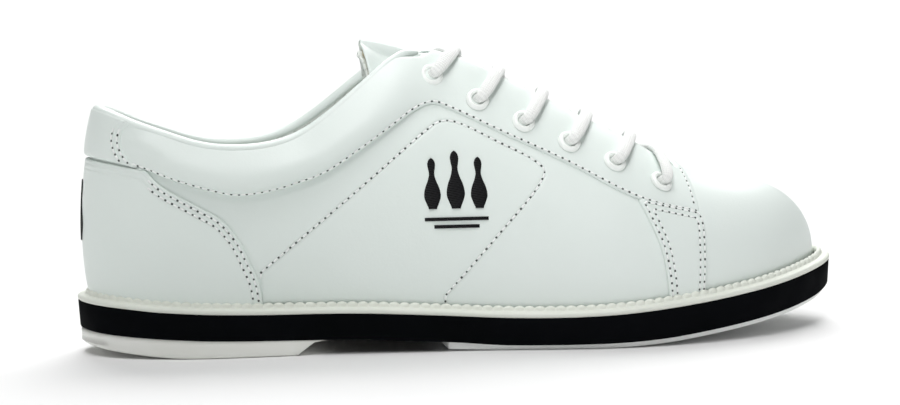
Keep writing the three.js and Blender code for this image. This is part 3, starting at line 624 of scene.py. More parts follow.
lining_mesh = mesh_cloth()
lace_braid = knit_lace()
welt_rubber = rubber("welt_rubber", (0.79, 0.815, 0.745), (0.75, 0.78, 0.705), 0.5, 0.5)
heel_rubber = rubber("heel_rubber", (0.93, 0.94, 0.9), (0.88, 0.89, 0.84), 0.55, 0.6)
black_rubber = rubber("black_rubber", (0.003, 0.0035, 0.0045), (0.002, 0.0025, 0.003), 0.8, 0.4, 0.03)
slide_leather = rubber("slide_leather", (0.93, 0.945, 0.93), (0.86, 0.875, 0.86), 0.9, 0.9)
board_card = rubber("board_card", (0.45, 0.36, 0.25), (0.38, 0.3, 0.2), 0.9, 0.7)
foam_pad = rubber("foam_pad", (0.78, 0.72, 0.55), (0.7, 0.64, 0.47), 0.95, 0.9)
stiff_sheet = rubber("stiff_sheet", (0.7, 0.72, 0.7), (0.64, 0.66, 0.64), 0.5, 0.2)
enamel = Shader("eyelet_enamel", (0.93, 0.965, 0.935), 0.22, {"Coat Weight": 0.4, "Coat Roughness": 0.1})
enamel.bump(enamel.noise(300, 2, 0.5), 0.15, 0.0001)
thread = Shader("stitch_thread", (0.93, 0.95, 0.94), 0.7)
thread.bump(thread.noise(5000, 2, 0.5), 0.5, 0.0001)
# Near-black dots sunk into each needle hole: their darkness is painted shade.
needle_hole_shade = Shader("needle_hole_shade", (0.09, 0.1, 0.095), 0.9)
needle_hole_shade.drive("Roughness", needle_hole_shade.noise(500).ramp(0, 1, 0.85, 0.95))
satin = Shader("black_satin", (0.004, 0.004, 0.005), 0.5, {"Specular IOR Level": 0.15})
satin.bump((satin.field("weave") * 7.0).sin() + satin.noise(2500) * 0.4, 0.7, 0.00015)
film = Shader("aglet_film", (0.82, 0.84, 0.83), 0.15, {"Coat Weight": 0.5})
film.bump(film.noise(400), 0.1, 0.0001)
steel = Shader("shank_steel", (0.55, 0.56, 0.58), 0.35, {"Metallic": 1.0})
steel.drive("Roughness", steel.noise(200, stretch=(0.1, 1, 1)).ramp(0.3, 0.7, 0.3, 0.45))
print(len(bpy.data.materials), "materials")

# %% [markdown]
# ## Upper
#
# Base leather first, then the layers sewn over it. The collar and facing are one panel, padded
# between its seam and the topline.

# %% Upper panels
OVER, BASE_LOW = 1.5, -1.2
STIFF_LOW = BASE_LOW - GAP - 1.2
LINED_LOW = STIFF_LOW - GAP - 1.0
PUFF = 4.4  # swelling of the collar's padding
COLLAR_REACH = 3.0  # how far the collar runs in under the binding
QUARTER_LAP = 2.2  # how far a quarter runs in under the collar
VAMP_BACK, QUARTER_FRONT = 84, 86.5
LINING_SPLIT, FOAM_FRONT = 24, -30
STIFFENER_THICK, STIFFENER_FRONT, STIFFENER_TOP, TOE_PUFF_BACK = 1.1, -93, 52, 107


def puff(v):
    """Padding that swells just over the seam and leans in towards the topline."""
    from_seam = np.maximum(col(v, "above"), 0)
    from_top = np.maximum(col(v, "upper") + COLLAR_REACH, 0)
    tall = from_seam + from_top
    rise = np.sin(math.pi * (from_seam / np.maximum(tall, 0.1)) ** 0.6)
    beside_tab = 0.1 + 0.9 * smooth(-1, 10, -col(v, "tab"))
    return PUFF * rise * np.minimum(1, tall / 18) * (1 - smooth(-42, -6, v[:, 0])) * beside_tab


def on_side(sign):
    return lambda v: sign * col(v, "side") - 0.15


def front_of(x):
    return lambda v: v[:, 0] - x


def behind(x):
    return lambda v: x - v[:, 0]


def up_to_binding(side):
    """Up to the throat in front, and under the binding round the ankle."""
    def limit(v):
        reach = COLLAR_REACH * (1 - smooth(-34, -20, v[:, 0]))
        return np.minimum(col(v, "upper") + reach, side(v))
    return limit


def under_collar(side):
    """A little past the seam under the collar, and the whole way up beneath the facing."""
    def limit(v):
        stop = np.where(v[:, 0] < -20, QUARTER_LAP, far) - col(v, "above")
        return np.minimum(np.minimum(stop, QUARTER_FRONT - v[:, 0]), side(v))
    return limit


panel("vamp", [("upper", 0)], 0.0, BASE_LOW, leather, extra=front_of(VAMP_BACK))
for word, side in (("lateral", on_side(-1)), ("medial", on_side(1))):
    panel(f"{word}_quarter", [("upper", 0)], 0.02, BASE_LOW, quarter_leather, extra=under_collar(side))
    panel(
        f"{word}_facing", [("facing", 0), ("-tab", -6)],
        lambda v: OVER - 0.25 + puff(v), lambda v: 0.1 + puff(v) * 0.8, facing_leather,
        extra=up_to_binding(side),
    )
    panel(f"{word}_side_band", [("band", 0), ("lip", -2)], OVER - 0.1, 0.1, band_leather, extra=side)
panel("heel_counter_cover", [("counter", 0), ("-above", 0), ("lip", -2)], OVER, 0.1, edged_leather)
panel(
    "heel_tab", [("upper", -COLLAR_REACH), ("above", -0.6), ("tab", 0)],
    lambda v: OVER + 0.5 + puff(v), lambda v: 0.3 + puff(v), tab_leather,
)
print({name: len(p[1]) for name, p in PANELS.items()})

# %% [markdown]
# Inner layers: the linings show inside the ankle opening, and the stiffeners and collar foam are
# hidden between the leather and the lining.

# %% Linings and stiffeners
COARSE = last_grid(200, 60)
for name, reach, part in (
    ("quarter_lining", -2.6, behind(LINING_SPLIT - GAP)), ("vamp_lining", 0, front_of(LINING_SPLIT)),
):
    panel(name, [("upper", reach)], STIFF_LOW - GAP, LINED_LOW, lining_mesh,
          grid=COARSE, extra=part, slot="lining")
panel(
    "collar_foam", [("upper", 0.5), ("above", 1.5)], lambda v: puff(v) * 0.75, STIFF_LOW, foam_pad,
    grid=COARSE, extra=behind(FOAM_FRONT), slot="foam",
)
for name, part in (
    ("heel_stiffener", lambda v: np.minimum(STIFFENER_FRONT - v[:, 0], STIFFENER_TOP - v[:, 2])),
    ("toe_puff", front_of(TOE_PUFF_BACK)),
):
    panel(name, [], STIFF_LOW + STIFFENER_THICK, STIFF_LOW, stiff_sheet, grid=COARSE, extra=part, slot="stiffener")

# %% [markdown]
# ## Tongue
#
# Padded leather outside, foam inside and mesh lining against the foot. It rides on its own body.

# %% Tongue
TONGUE_ROOT, TONGUE_TIP, TONGUE_DEPTH = 84, -39.5, -9.4
tongue_half = track([[-50, 28], [-20, 26], [0, 24], [40, 21], [76, 17]])
tongue_low = track([[-50, 93], [-20, 86], [0, 80], [20, 71], [50, 58], [86, 44]])


def tongue_face(v):
    side = np.abs(col(v, "side"))
    tip = 4.0 * (1 - smooth(-44, -28, v[:, 0]))
    return TONGUE_DEPTH + np.maximum(tip, (1 - smooth(2, 8.5, side)) * 4.4 * (1 - smooth(50, 72, v[:, 0])))


def tongue_area(trim):
    def area(v):
        side = np.abs(col(v, "side"))
        root, tip = TONGUE_ROOT - v[:, 0], v[:, 0] - TONGUE_TIP - 0.004 * side * side
        beside, above = tongue_half(v[:, 0]) - side, v[:, 2] - tongue_low(v[:, 0])
        return np.minimum.reduce([root, tip, beside, above]) - trim
    return area


MIDDLE = last_grid(320, 100)
for name, high, low, trim, material, slot_name in (
    ("tongue", 0.0, -1.0, 0, leather, "white_leather"), ("tongue_foam", -1.2, -4.4, 1.6, foam_pad, "foam"),
    ("tongue_lining", -4.5, -5.9, 0, lining_mesh, "lining"),
):
    panel(name, [], lambda v, h=high: tongue_face(v) + h, lambda v, h=low: tongue_face(v) + h, material,
          grid=MIDDLE, extra=tongue_area(trim), body="tongue", slot=slot_name, fold=0.8)

# %% [markdown]
# ## Sole unit
#
# Rings of the sole's edge at several insets and heights make the midsole, heel and slide sole.
# The welt is swept round the same edge, and its lip is pressed into small scallops.

# %% Sole unit
def ring(u0, u1, inset, height, n):
    u = np.linspace(u0, u1, n)
    if u0 == 0:
        u[0] = 0.0012
    if u1 == 0.5:
        u[-1] = 0.4988
    u = np.concatenate([u, 1 - u[::-1]])
    xy = edge(u) + edge_inward(u) * inset
    z = height(xy[:, 0]) if callable(height) else np.full(len(xy), height)
    return np.column_stack([xy, z])


def stack(rings):
    n = len(rings[0])
    faces = quads(len(rings), n).tolist()
    top = (len(rings) - 1) * n
    for i in range(n // 2 - 1):
        a, b, c, d = i, i + 1, n - 2 - i, n - 1 - i
        faces += [(a, d, c, b), (top + a, top + b, top + c, top + d)]
    return np.vstack(rings), faces


def station_of(x):
    return math.acos(max(-1, min(1, -x / HALF))) / math.pi / 2


def raised(height, by):
    return lambda x: height(x) + by


def rolled(u0, u1, inset, low, high, radius_low, radius_high, n=220, draft=0.0):
    """A slab between two height curves with rounded lower and upper edges."""
    rings = []
    for a in np.linspace(0, math.pi / 2, 5):
        inner = inset + draft + radius_low * (1 - math.sin(a))
        rings.append(ring(u0, u1, inner, raised(low, radius_low * (1 - math.cos(a))), n))
    for a in np.linspace(0, math.pi / 2, 5):
        inner = inset + radius_high * (1 - math.cos(a))
        rings.append(ring(u0, u1, inner, raised(high, radius_high * (math.sin(a) - 1)), n))
    return stack(rings)


SEATED = 0.15  # how far the heel and slide sole run up into the midsole
SLIDE_BACK, SLIDE_THICK = -14, 2.9
HEEL_FRONT, HEEL_BEVEL_TOP, HEEL_SEAT_FRONT = -71, -64, -59


def no_lower(height):
    """The height, but never under the floor."""
    return lambda x: np.maximum(0, height(x))


def worn_base(x):
    """The midsole's lower edge laps the slide sole a little in front."""
    return midsole_base(x) - 0.9 * smooth(-14, 10, x)


sole_parts = [
    ("midsole", rolled(0, 0.5, 0, worn_base, midsole_top, 0.8, 0.7, draft=0.5), black_rubber, "black_rubber"),
    ("slide_sole", rolled(
        station_of(SLIDE_BACK), 0.5, 1.5,
        no_lower(raised(midsole_base, -SLIDE_THICK)), raised(midsole_base, SEATED),
        1.0, 0.1, draft=0.8,
    ), slide_leather, "slide_sole"),
]
for name, (co, faces), material, slot_name in sole_parts:
    stand_for(mesh_object(name + "_skin", co, faces, material), "shoe", slot_name, name)

heel_rings = []
for inset, rise, shrink in ((2.6, 0, 0), (1.6, 0.25, -0.8), (1.1, 1.0, -1.6), (1.0, 2.2, -3.2)):
    heel_rings.append(ring(0, station_of(HEEL_FRONT - shrink), inset, raised(no_lower(heel_floor), rise), 160))
heel_rings.append(ring(
    0, station_of(HEEL_BEVEL_TOP), 0.9, lambda x: np.minimum(5.0, midsole_base(x) - 0.4), 160,
))
heel_rings.append(ring(0, station_of(HEEL_SEAT_FRONT), 0.9, raised(midsole_base, SEATED), 160))
co, faces = stack(heel_rings)
stand_for(mesh_object("heel_lift_skin", co, faces, heel_rubber), "shoe", "white_rubber", "heel_lift")

SCALLOPS, PER = 176, 14  # along the whole welt, and points to each


def welt_mesh():
    """Each row of the profile is an inset, a rise, and how far a scallop pushes it out and up."""
    n = SCALLOPS * PER
    u = np.arange(2400) / 2400
    reach = reach_along(np.vstack([edge(u), edge(u[:1])]))
    us = np.interp(np.arange(n) / n * reach[-1], reach, np.r_[u, 1])
    phase = (np.arange(n) % PER) / PER
    bump = np.abs(np.sin(math.pi * phase)) ** 0.75
    base, inward = edge(us), edge_inward(us)
    face = WELT_INSET - 1.7
    profile = [
        (0.25, -0.1, 0, 0), (-0.1, 0.25, 0, 0), (-0.2, 0.9, 0, 0), (-0.05, 1.5, 0, 0), (0.5, 1.9, 0, 0),
        (1.4, 2.05, 0, 0), (2.2, 2.05, 0, 0), (face - 0.6, 2.1, -0.1, 0.05), (face - 0.15, 2.35, -0.5, 0.1),
        (face + 0.1, 2.8, -0.65, 0.4), (face + 0.35, 3.05, -0.5, 0.7), (face + 0.75, 3.2, -0.1, 0.85),
        (face + 1.2, 3.1, 0, 0.8), (WELT_INSET, 2.6, 0, 0.4), (WELT_INSET, -0.1, 0, 0),
    ]
    rows = []
    for inset, rise, out, lift in profile:
        xy = base + inward * (inset + out * bump)[:, None]
        rows.append(np.column_stack([xy, midsole_top(base[:, 0]) + rise + lift * bump]))
    return np.stack(rows, 1).reshape(-1, 3), quads(n, len(profile), closed=True)[:, [0, 3, 2, 1]]


co, faces = welt_mesh()
stand_for(mesh_object("welt_skin", co, faces, welt_rubber), "shoe", "white_rubber", "welt")

FOOTBED_INSET, BOARD_INSET = 12.6, 11.6
co, faces = rolled(0, 0.5, FOOTBED_INSET, raised(midsole_top, 2.65), raised(midsole_top, 6.65), 0.4, 1.6)
stand_for(mesh_object("footbed_skin", co, faces, lining_mesh), "shoe", "lining", "footbed")
co, faces = rolled(0, 0.5, BOARD_INSET, raised(midsole_top, 0.2), raised(midsole_top, 2.4), 0.2, 0.2)
stand_for(mesh_object("insole_board_skin", co, faces, board_card), "shoe", "insole_board", "insole_board")
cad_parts["shank"].data.materials.clear()
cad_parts["shank"].data.materials.append(steel.material)

# %% [markdown]
# ## Topline binding
#
# A rounded strip that closes the edge of the collar, swept along a line just under the topline.
# It grows slimmer at both ends.

# %% Sweeping
def swept(name, path, across, wide, thick, sides, material):
    """A tube of oval section: wide along `across`, thick at right angles to it, with flat ends."""
    path = np.asarray(path)
    tangent = unit(np.gradient(path, axis=0))
    across = unit(across - (across * tangent).sum(1, keepdims=True) * tangent)
    outward = np.cross(tangent, across)
    n = len(path)
    wide, thick = np.broadcast_to(wide, n).copy(), np.broadcast_to(thick, n).copy()
    angle = 2 * math.pi * np.arange(sides) / sides
    ca, sa = np.cos(angle), np.sin(angle)
    co = (
        path[:, None] + across[:, None] * (ca[None, :, None] * wide[:, None, None])
        + outward[:, None] * (sa[None, :, None] * thick[:, None, None])
    ).reshape(-1, 3)
    faces = quads(n, sides).tolist()
    faces += [list(range(sides))[::-1], [(n - 1) * sides + s for s in range(sides)]]
    obj = mesh_object(name, co, faces, material)
    attribute(obj, "along", np.repeat(reach_along(path), sides))
    attribute(obj, "turn", np.tile(angle, n))
    return obj


def resampled(path, step):
    path = np.asarray(path)
    reach = reach_along(path[:, :3])
    at = np.linspace(0, reach[-1], max(2, int(round(reach[-1] / step)) + 1))
    return np.column_stack([np.interp(at, reach, column) for column in path.T])


v, tris = FINE
BINDING_DROP, BINDING_SUNK = 1.3, 1.2  # under the topline, and in from the last surface
BINDING_FRONT, ANKLE_MIDDLE = -18.5, -17
v2, _, _, segments = slice_at(v, tris, col(v, "rim"), -BINDING_DROP)
run = v2[np.unique(segments)]
run = run[(np.abs(col(run, "rim") + BINDING_DROP) < 0.05) & (run[:, 0] < BINDING_FRONT)]
run = run[np.argsort(np.arctan2(run[:, 1], ANKLE_MIDDLE - run[:, 0]))]
run = resampled(run, 1.0)
kernel = np.ones(9) / 9
padded = np.vstack([np.repeat(run[:1], 4, 0), run, np.repeat(run[-1:], 4, 0)])
run = np.column_stack([np.convolve(c, kernel, "valid") for c in padded.T])
middle = run[:, :3] + run[:, 3:6] * -BINDING_SUNK
from_end = np.minimum(np.arange(len(middle)), np.arange(len(middle))[::-1])
slim = 0.35 + 0.65 * smooth(0, 9, from_end)
binding = swept("topline_binding_skin", middle, run[:, 3:6], 3.0 * slim, 2.0 * slim, 20, leather)
stand_for(binding, "shoe", "white_leather", "topline_binding")
print("binding runs", round(float(reach_along(middle)[-1])), "mm")

# %% [markdown]
# ## Finding places on the last
#
# `Probe` casts a ray at the last surface, from either side or from behind. Eyelets,
# lace and the embroidered marks are placed with it.

# %% Places on the last
class Probe:
    def __init__(self, v, tris):
        self.tree = BVHTree.FromPolygons(v[:, :3].tolist(), tris.tolist())

    def cast(self, start, direction):
        place, normal, _, _ = self.tree.ray_cast(Vector(start), Vector(direction))
        normal = np.array(normal)
        return np.array(place), normal * -np.sign(normal @ np.array(direction))

    def beside(self, x, z, side):
        return self.cast((x, side * 300, z), (0, -side, 0))

    def behind(self, y, z):
        return self.cast((-300, y, z), (1, 0, 0))


LAST = Probe(*FINE)
EYELET_SPOTS = [(-15.8, 104.8), (1.2, 95.3), (18.4, 86.6), (35.6, 78.3), (53, 70.4), (71, 62.2)]
SPOTS = [{side: LAST.beside(x, z - TOP_DROP / 2, side) for side in (-1, 1)} for x, z in EYELET_SPOTS]
throat_at = track(THROAT_POINTS)
print("eyelet pairs:", len(SPOTS), "first at", SPOTS[0][-1][0].round(1))

# %% [markdown]
# ## Eyelets
#
# White enamelled rings: a lathed section with a rolled flange and a barrel through the leather.

# %% Eyelets
RING = [
    (2.32, -4.9), (2.32, 0.8), (2.34, 1.6), (2.5, 2.2), (2.85, 2.62), (3.35, 2.75), (3.85, 2.6), (4.3, 2.15),
    (4.55, 1.6), (4.6, 1.25), (2.9, 1.2), (2.85, -4.9),
]


def basis(normal):
    n = unit(normal)
    a = unit(np.cross(n, [0, 0, 1.0]))
    return a, np.cross(n, a), n


def lathe(name, section, place, normal, material, sides=48):
    a, b, n = basis(normal)
    turn = 2 * math.pi * np.arange(sides) / sides
    around = a * np.cos(turn)[:, None] + b * np.sin(turn)[:, None]
    co = np.stack([place + around * r + n * h for r, h in section], 1).reshape(-1, 3)
    return mesh_object(name, co, quads(sides, len(section), closed=True)[:, ::-1], material)


for i, spot in enumerate(SPOTS):
    for side, word in ((-1, "lateral"), (1, "medial")):
        ring_obj = lathe(f"{word}_eyelet_{i + 1}_ring", RING, *spot[side], enamel.material)
        stand_for(ring_obj, "shoe", "eyelet", f"{word}_eyelet_{i + 1}")
print("12 eyelets")

# %% [markdown]
# ## Lace
#
# One flat-oval lace: a bar over the toe-most pair, then each end goes down through its eyelet,
# up in the throat, over the ridge and into the next eyelet from outside. It ends in two aglets.

# %% Lace
LACE_UNDER = -5.95
CROSSING_BACK, CROSSING_LOW, CROSSING_HIGH = 4.2, -3.2, -0.2
EDGE_AHEAD, BAR_AHEAD = 8.6, 1.6  # of the eyelet, where the lace passes the facing's edge
LACE_TAIL = [(-18, 98), (-22, 89), (-30, 80), (-40, 72)]


def off(spot, height):
    return spot[0] + spot[1] * height


def ridge_point(x, height):
    return np.array([x, float(ridge_side(x)), float(ridge_top(x)) + height])


def shifted(spot, height, along, up):
    return off(spot, height) + np.array([along, 0, up])


def down_eyelet(spot):
    return [
        shifted(spot, 3.3, 1.3, 0.5), shifted(spot, 1.2, 0.25, 0.15),
        off(spot, -1.6), off(spot, LINED_LOW - 0.8),
    ]


def through_eyelet(k, side):
    spot = SPOTS[k][side]
    x = spot[0][0]
    low = LAST.beside(x - 1, (spot[0][2] + throat_at(x - 1)) / 2, side)
    edge_spot = LAST.beside(x - 2, throat_at(x - 2) + 0.2, side)
    rise = LAST.beside(x - 3, throat_at(x - 3), side)[0]
    return [
        *down_eyelet(spot), off(low, LACE_UNDER - 0.9), off(edge_spot, LACE_UNDER - 0.5),
        rise * 0.6 + ridge_point(x - 3.4, -4.6) * 0.4,
    ]


def over_edge(k, side, along):
    x = SPOTS[k][side][0][0] + along
    return off(LAST.beside(x, throat_at(x) - 1.2, side), OVER + 1.6)


def half_lace(first):
    points = [over_edge(5, first, BAR_AHEAD)]
    side = first
    for k in range(5, 0, -1):
        points += through_eyelet(k, side)
        height = CROSSING_LOW if side < 0 else CROSSING_HIGH
        points.append(ridge_point(SPOTS[k][1][0][0] - CROSSING_BACK, height))
        side = -side
        points.append(over_edge(k - 1, side, EDGE_AHEAD))
    points += down_eyelet(SPOTS[0][side])
    return points + [off(LAST.beside(x, z, side), LACE_UNDER - 0.9) for x, z in LACE_TAIL]


def spline(points, step):
    """A centripetal curve through 3-D points, cut into equal steps."""
    return resampled(np.array(centripetal(points, lambda p, q: 24)), step)


halves = [half_lace(-1), half_lace(1)]
bar = ridge_point(SPOTS[5][1][0][0] + BAR_AHEAD, -0.4)
LACE_STEP = 0.55
lace_path = spline([*halves[0][::-1], bar, *halves[1]], LACE_STEP)
near_hole = np.min([
    np.linalg.norm(lace_path - off(spot[side], 0.5), axis=1) for spot in SPOTS for side in (-1, 1)
], axis=0)
half_width = 2.12 + 0.42 * smooth(2.5, 6.5, near_hole)
half_depth = 1.62 - 0.12 * smooth(2.5, 6.5, near_hole)
row_way = np.tile([0.88, 0, -0.47], (len(lace_path), 1))
lace = swept("lace_braided", lace_path, row_way, half_width, half_depth, 20, lace_braid)
stand_for(lace, "shoe", "lace", "lace")
AGLET = [(0.3, 0), (1.35, 0), (1.5, 0.3), (1.5, 21.4), (1.3, 22), (0.3, 22), (0.15, 11)]
for i, half in enumerate(halves):
    way = unit(half[-1] - half[-2])
    name = "lateral_aglet" if i else "medial_aglet"
    tip = lathe(name + "_film", AGLET, half[-1] + way * 0.3, way, film.material, sides=24)
    stand_for(tip, "shoe", "aglet", name)
print("lace", round(len(lace_path) * LACE_STEP), "mm long")

# %% [markdown]
# ## Stitching
#
# Each row is a line of points on a panel's face with its direction and the leather's normal. One
# Geometry Nodes tree sets a thread on each point, and a dark dot of painted shade in each needle hole between
# them.

# %% Stitching
def stitch_tree(name):
    """Instances of an object on points, aimed by the points' own axes."""
    tree = bpy.data.node_groups.new(name, "GeometryNodeTree")
    for title, kind in (
        ("Geometry", "Geometry"), ("Stitch", "Object"), ("Material", "Material"), ("Size variation", "Float"),
    ):
        tree.interface.new_socket(title, in_out="INPUT", socket_type="NodeSocket" + kind)
    tree.interface.new_socket("Geometry", in_out="OUTPUT", socket_type="NodeSocketGeometry")
    nodes, link = tree.nodes, tree.links.new
    source, sink = nodes.new("NodeGroupInput"), nodes.new("NodeGroupOutput")
    info = nodes.new("GeometryNodeObjectInfo")
    axes = nodes.new("FunctionNodeAxesToRotation")
    axes.primary_axis, axes.secondary_axis = "X", "Z"
    put = nodes.new("GeometryNodeInstanceOnPoints")
    realize, paint = nodes.new("GeometryNodeRealizeInstances"), nodes.new("GeometryNodeSetMaterial")
    for key, axis in (("way", "Primary Axis"), ("outward", "Secondary Axis")):
        read = nodes.new("GeometryNodeInputNamedAttribute")
        read.data_type = "FLOAT_VECTOR"
        read.inputs["Name"].default_value = key
        link(read.outputs["Attribute"], axes.inputs[axis])
    vary = nodes.new("FunctionNodeRandomValue")
    vary.data_type = "FLOAT"
    vary.inputs["Seed"].default_value = 7
    shrink = nodes.new("ShaderNodeMath")
    shrink.operation = "SUBTRACT"
    shrink.inputs[0].default_value = 1
    link(source.outputs["Size variation"], shrink.inputs[1])
    floats = [s for s in vary.inputs if s.type == "VALUE" and s.name in ("Min", "Max")]
    link(shrink.outputs[0], floats[0])
    floats[1].default_value = 1
    link([s for s in vary.outputs if s.type == "VALUE"][0], put.inputs["Scale"])
    for giver, given, taker, taken in (
        (source, "Geometry", put, "Points"), (source, "Stitch", info, "Object"),
        (info, "Geometry", put, "Instance"), (axes, "Rotation", put, "Rotation"),
        (put, "Instances", realize, "Geometry"), (realize, "Geometry", paint, "Geometry"),
        (source, "Material", paint, "Material"), (paint, "Geometry", sink, "Geometry"),
    ):
        link(giver.outputs[given], taker.inputs[taken])
    return tree


def capsule(name, length, radius, flat, sides=8):
    """A rounded bar along X, squashed along Z."""
    rings = []
    for a in np.linspace(-math.pi / 2, math.pi / 2, 6)[1:-1]:
        x = math.sin(a) * radius + math.copysign(length / 2 - radius, a)
        rings.append((x, math.cos(a) * radius))
    turn = 2 * math.pi * np.arange(sides) / sides
    co = [(x, r * math.cos(t), r * math.sin(t) * flat) for x, r in rings for t in turn]
    faces = quads(len(rings), sides).tolist()
    faces += [tuple(range(sides))[::-1], tuple((len(rings) - 1) * sides + i for i in range(sides))]
    return mesh_object(name, co, [f[::-1] for f in faces], None)


TREE = stitch_tree("stitch_row")
THREAD_BAR = capsule("thread_bar", 2.05, 0.44, 0.8)
# The dark hole dot is painted shade: it stands for the shadow inside a needle hole.
HOLE_SHADE_DOT = capsule("hole_dot", 1.05, 0.46, 0.5)
PITCH = 2.85


def instanced(name, points, way, outward, stitch, material, variation):
    mesh = bpy.data.meshes.new(name + "_points")
    mesh.from_pydata((points * MM).tolist(), [], [])
    for key, values in (("way", way), ("outward", outward)):
        a = mesh.attributes.new(key, "FLOAT_VECTOR", "POINT")
        a.data.foreach_set("vector", values.astype(np.float32).ravel())
    holder = linked(name + "_points", mesh)
    modifier = holder.modifiers.new("stitches", "NODES")
    modifier.node_group = TREE
    keys = {s.name: s.identifier for s in TREE.interface.items_tree if s.in_out == "INPUT"}
    modifier[keys["Stitch"]] = stitch
    modifier[keys["Material"]] = material
    modifier[keys["Size variation"]] = variation
    bpy.context.view_layer.update()
    made = bpy.data.meshes.new_from_object(holder.evaluated_get(bpy.context.evaluated_depsgraph_get()))
    obj = linked(name, made)
    made.polygons.foreach_set("use_smooth", [True] * len(made.polygons))
    bpy.data.objects.remove(holder)
    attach(obj, "shoe")


def sew(name, lines):
    """Threads, and dark dots of painted shade in each needle hole, along each line of vertex rows, as two pieces.
    """
    rows = []
    for line in lines:
        line = resampled(line[:, :6], PITCH / 2)
        rows.append(np.hstack([line, unit(np.gradient(line[:, :3], axis=0))]))
    threads = np.vstack([r[1::2] for r in rows])
    holes = np.vstack([r[0::2] for r in rows])
    for word, part, lift, stitch, material, variation in (
        ("thread", threads, 0.08, THREAD_BAR, thread.material, 0.12),
        ("holes", holes, -0.02, HOLE_SHADE_DOT, needle_hole_shade.material, 0.25),
    ):
        n = unit(part[:, 3:6])
        instanced(f"{name}_{word}", part[:, :3] + n * lift, part[:, 6:9], n, stitch, material, variation)
    return len(threads)


def where(*tests):
    return lambda v: np.all([test(v) for test in tests], axis=0)


def over(name, level):
    return lambda v: col(v, name) > level


def under(name, level):
    return lambda v: col(v, name) < level


STITCH_ROWS = []
for word in ("lateral", "medial"):
    STITCH_ROWS += [
        (f"{word}_facing_seam", f"{word}_facing", "above", [SEAM_ROW], where(
            under("tab", 0.5), under("x", 84.5), over("upper", 2))),
        (f"{word}_facing_front", f"{word}_facing", "facing", [FRONT_ROW], where(
            over("x", 78), over("upper", 2), over("above", 3))),
        (f"{word}_chevron", f"{word}_quarter", "chevron", [0], where(
            over("lip", 4), under("counter", -1.2), under("x", 60))),
        (f"{word}_band", f"{word}_side_band", "band", BAND_ROWS, where(
            over("lip", 4.5), under("z", 57))),
    ]
STITCH_ROWS += [
    ("counter", "heel_counter_cover", "counter", COUNTER_ROWS, where(
        over("lip", 4.5), under("above", -1), over("x", -123))),
    ("heel_tab", "heel_tab", "tab", TAB_ROWS, where(over("upper", 1.5), over("above", 0.5))),
]
count = 0
for name, on, column, levels, keep in STITCH_ROWS:
    count += sew(name, [line for level in levels for line in level_lines(on, column, level, keep)])
for spare in (THREAD_BAR, HOLE_SHADE_DOT):
    bpy.data.objects.remove(spare)
print(count, "stitches")

# %% [markdown]
# ## Embroidered marks
#
# Three bowling pins on each side and one at the heel, filled with satin stitch.

# %% Marks
pin_half = track([
    [0, 0.5], [0.03, 0.53], [0.1, 0.72], [0.22, 0.98], [0.3, 1.0], [0.42, 0.84], [0.56, 0.5], [0.66, 0.34],
    [0.72, 0.33], [0.8, 0.42], [0.88, 0.47], [0.95, 0.36], [0.985, 0.18], [1, 0.03],
])
ROWS, ACROSS = 72, 14


def embroider(name, place, shapes):
    """Raised satin shapes: each is a centre, a height, a width and a half-width curve."""
    co, faces, weave = [], [], []
    for cx, cz, height, width, half in shapes:
        start = len(co)
        for r in range(ROWS + 1):
            t = r / ROWS
            for c in range(ACROSS + 1):
                s = 2 * c / ACROSS - 1
                a, b = cx + s * width / 2 * float(half(t)), cz + t * height
                spot = place(a, b)
                co.append(off(spot, 0.12 + 0.42 * max(0.0, 1 - s**4) ** 0.5))
                weave.append(b + 0.25 * a)
        for r in range(ROWS):
            for c in range(ACROSS):
                k = start + r * (ACROSS + 1) + c
                faces.append((k, k + 1, k + ACROSS + 2, k + ACROSS + 1))
    obj = mesh_object(name, co, faces, satin.material)
    attribute(obj, "weave", weave)
    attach(obj, "shoe")


def bar_half(t):
    return 1.0


THREE_PINS = [
    (-18, 53.5, 19, 6.2, pin_half), (-9.2, 53.5, 21.5, 6.8, pin_half), (-0.4, 53.5, 19, 6.2, pin_half),
    (-9.2, 49.0, 1.3, 24, bar_half), (-9.2, 46.2, 1.3, 17, bar_half),
]
embroider("lateral_pins", lambda a, b: LAST.beside(a, b, -1), THREE_PINS)
embroider("medial_pins", lambda a, b: LAST.beside(-18.4 - a, b, 1), THREE_PINS)


def on_counter(a, b):
    place, normal = LAST.behind(a, b)
    return place + normal * OVER, normal


embroider("heel_pin", on_counter, [(0, 43, 23, 9, pin_half)])
print("marks: 3 + 3 + 1 pins")

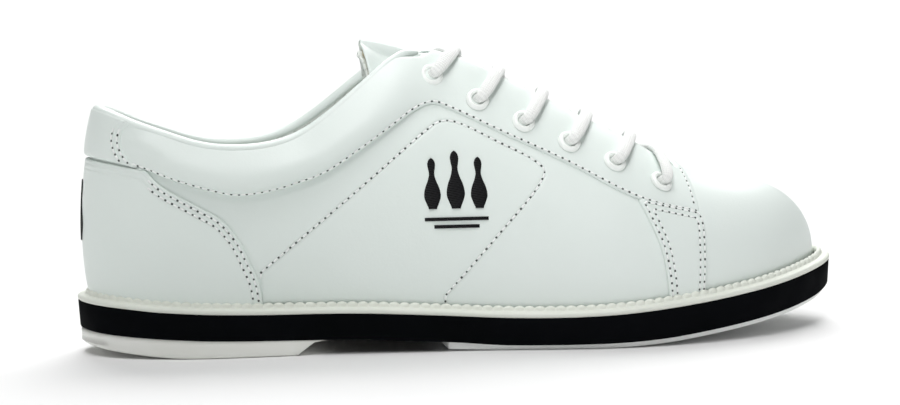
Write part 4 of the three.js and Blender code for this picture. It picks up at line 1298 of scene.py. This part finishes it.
# %% [markdown]
# ## Studio
#
# A white floor that runs to the horizon, two soft suns, one overhead and one from behind, and a
# pale sky that is bright only near the horizon. A weak spot in front lights the collar and lace.

# %% Studio
paper = Shader("floor_paper", (0.88, 0.88, 0.88), 0.9)
paper.drive("Roughness", paper.noise(3).ramp(0, 1, 0.88, 0.92))
FAR = 60000  # the floor's half width, in millimetres
corners = [(-FAR, -FAR, 0), (FAR, -FAR, 0), (FAR, FAR, 0), (-FAR, FAR, 0)]
floor = mesh_object("floor", corners, [(0, 1, 2, 3)], paper.material)

world = bpy.data.worlds.new("studio")
bpy.context.scene.world = world
world.use_nodes = True
sky = world.node_tree
height_of = sky.nodes.new("ShaderNodeSeparateXYZ")
sky.links.new(sky.nodes.new("ShaderNodeTexCoord").outputs["Generated"], height_of.inputs[0])
fade = sky.nodes.new("ShaderNodeMapRange")
for key, value in (("From Min", 0.04), ("From Max", 0.14), ("To Min", 1.05), ("To Max", 0.1)):
    fade.inputs[key].default_value = value
sky.links.new(height_of.outputs["Z"], fade.inputs["Value"])
sky.links.new(fade.outputs["Result"], sky.nodes["Background"].inputs["Strength"])
sky.nodes["Background"].inputs["Color"].default_value = (1, 1, 1, 1)

for name, strength, spread, way in (
    ("overhead", 1.5, 35, (-0.1, -0.2, 1)), ("back_key", 2.55, 45, (0.2, 0.85, 1)),
):
    sun = linked(name, bpy.data.lights.new(name, "SUN"))
    sun.data.energy = strength
    sun.data.angle = math.radians(spread)
    sun.rotation_euler = Vector(way).to_track_quat("Z", "Y").to_euler()
place, aim = Vector((-0.12, -0.5, 0.62)), Vector((0.02, 0, 0.12))
spot_light = linked("front_spot", bpy.data.lights.new("front_spot", "SPOT"))
spot_light.data.energy = 9
spot_light.data.spot_size = math.radians(30)
spot_light.data.spot_blend = 1
spot_light.data.shadow_soft_size = 0.12
spot_light.location = place
spot_light.rotation_euler = (place - aim).to_track_quat("Z", "Y").to_euler()
print("studio ready")

# %% [markdown]
# ## Finish
#
# Pieces that keep their CAD mesh take a material too.

# %% Finish
for name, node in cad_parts.items():
    if not node.data.materials:
        node.data.materials.append(stiff_sheet)
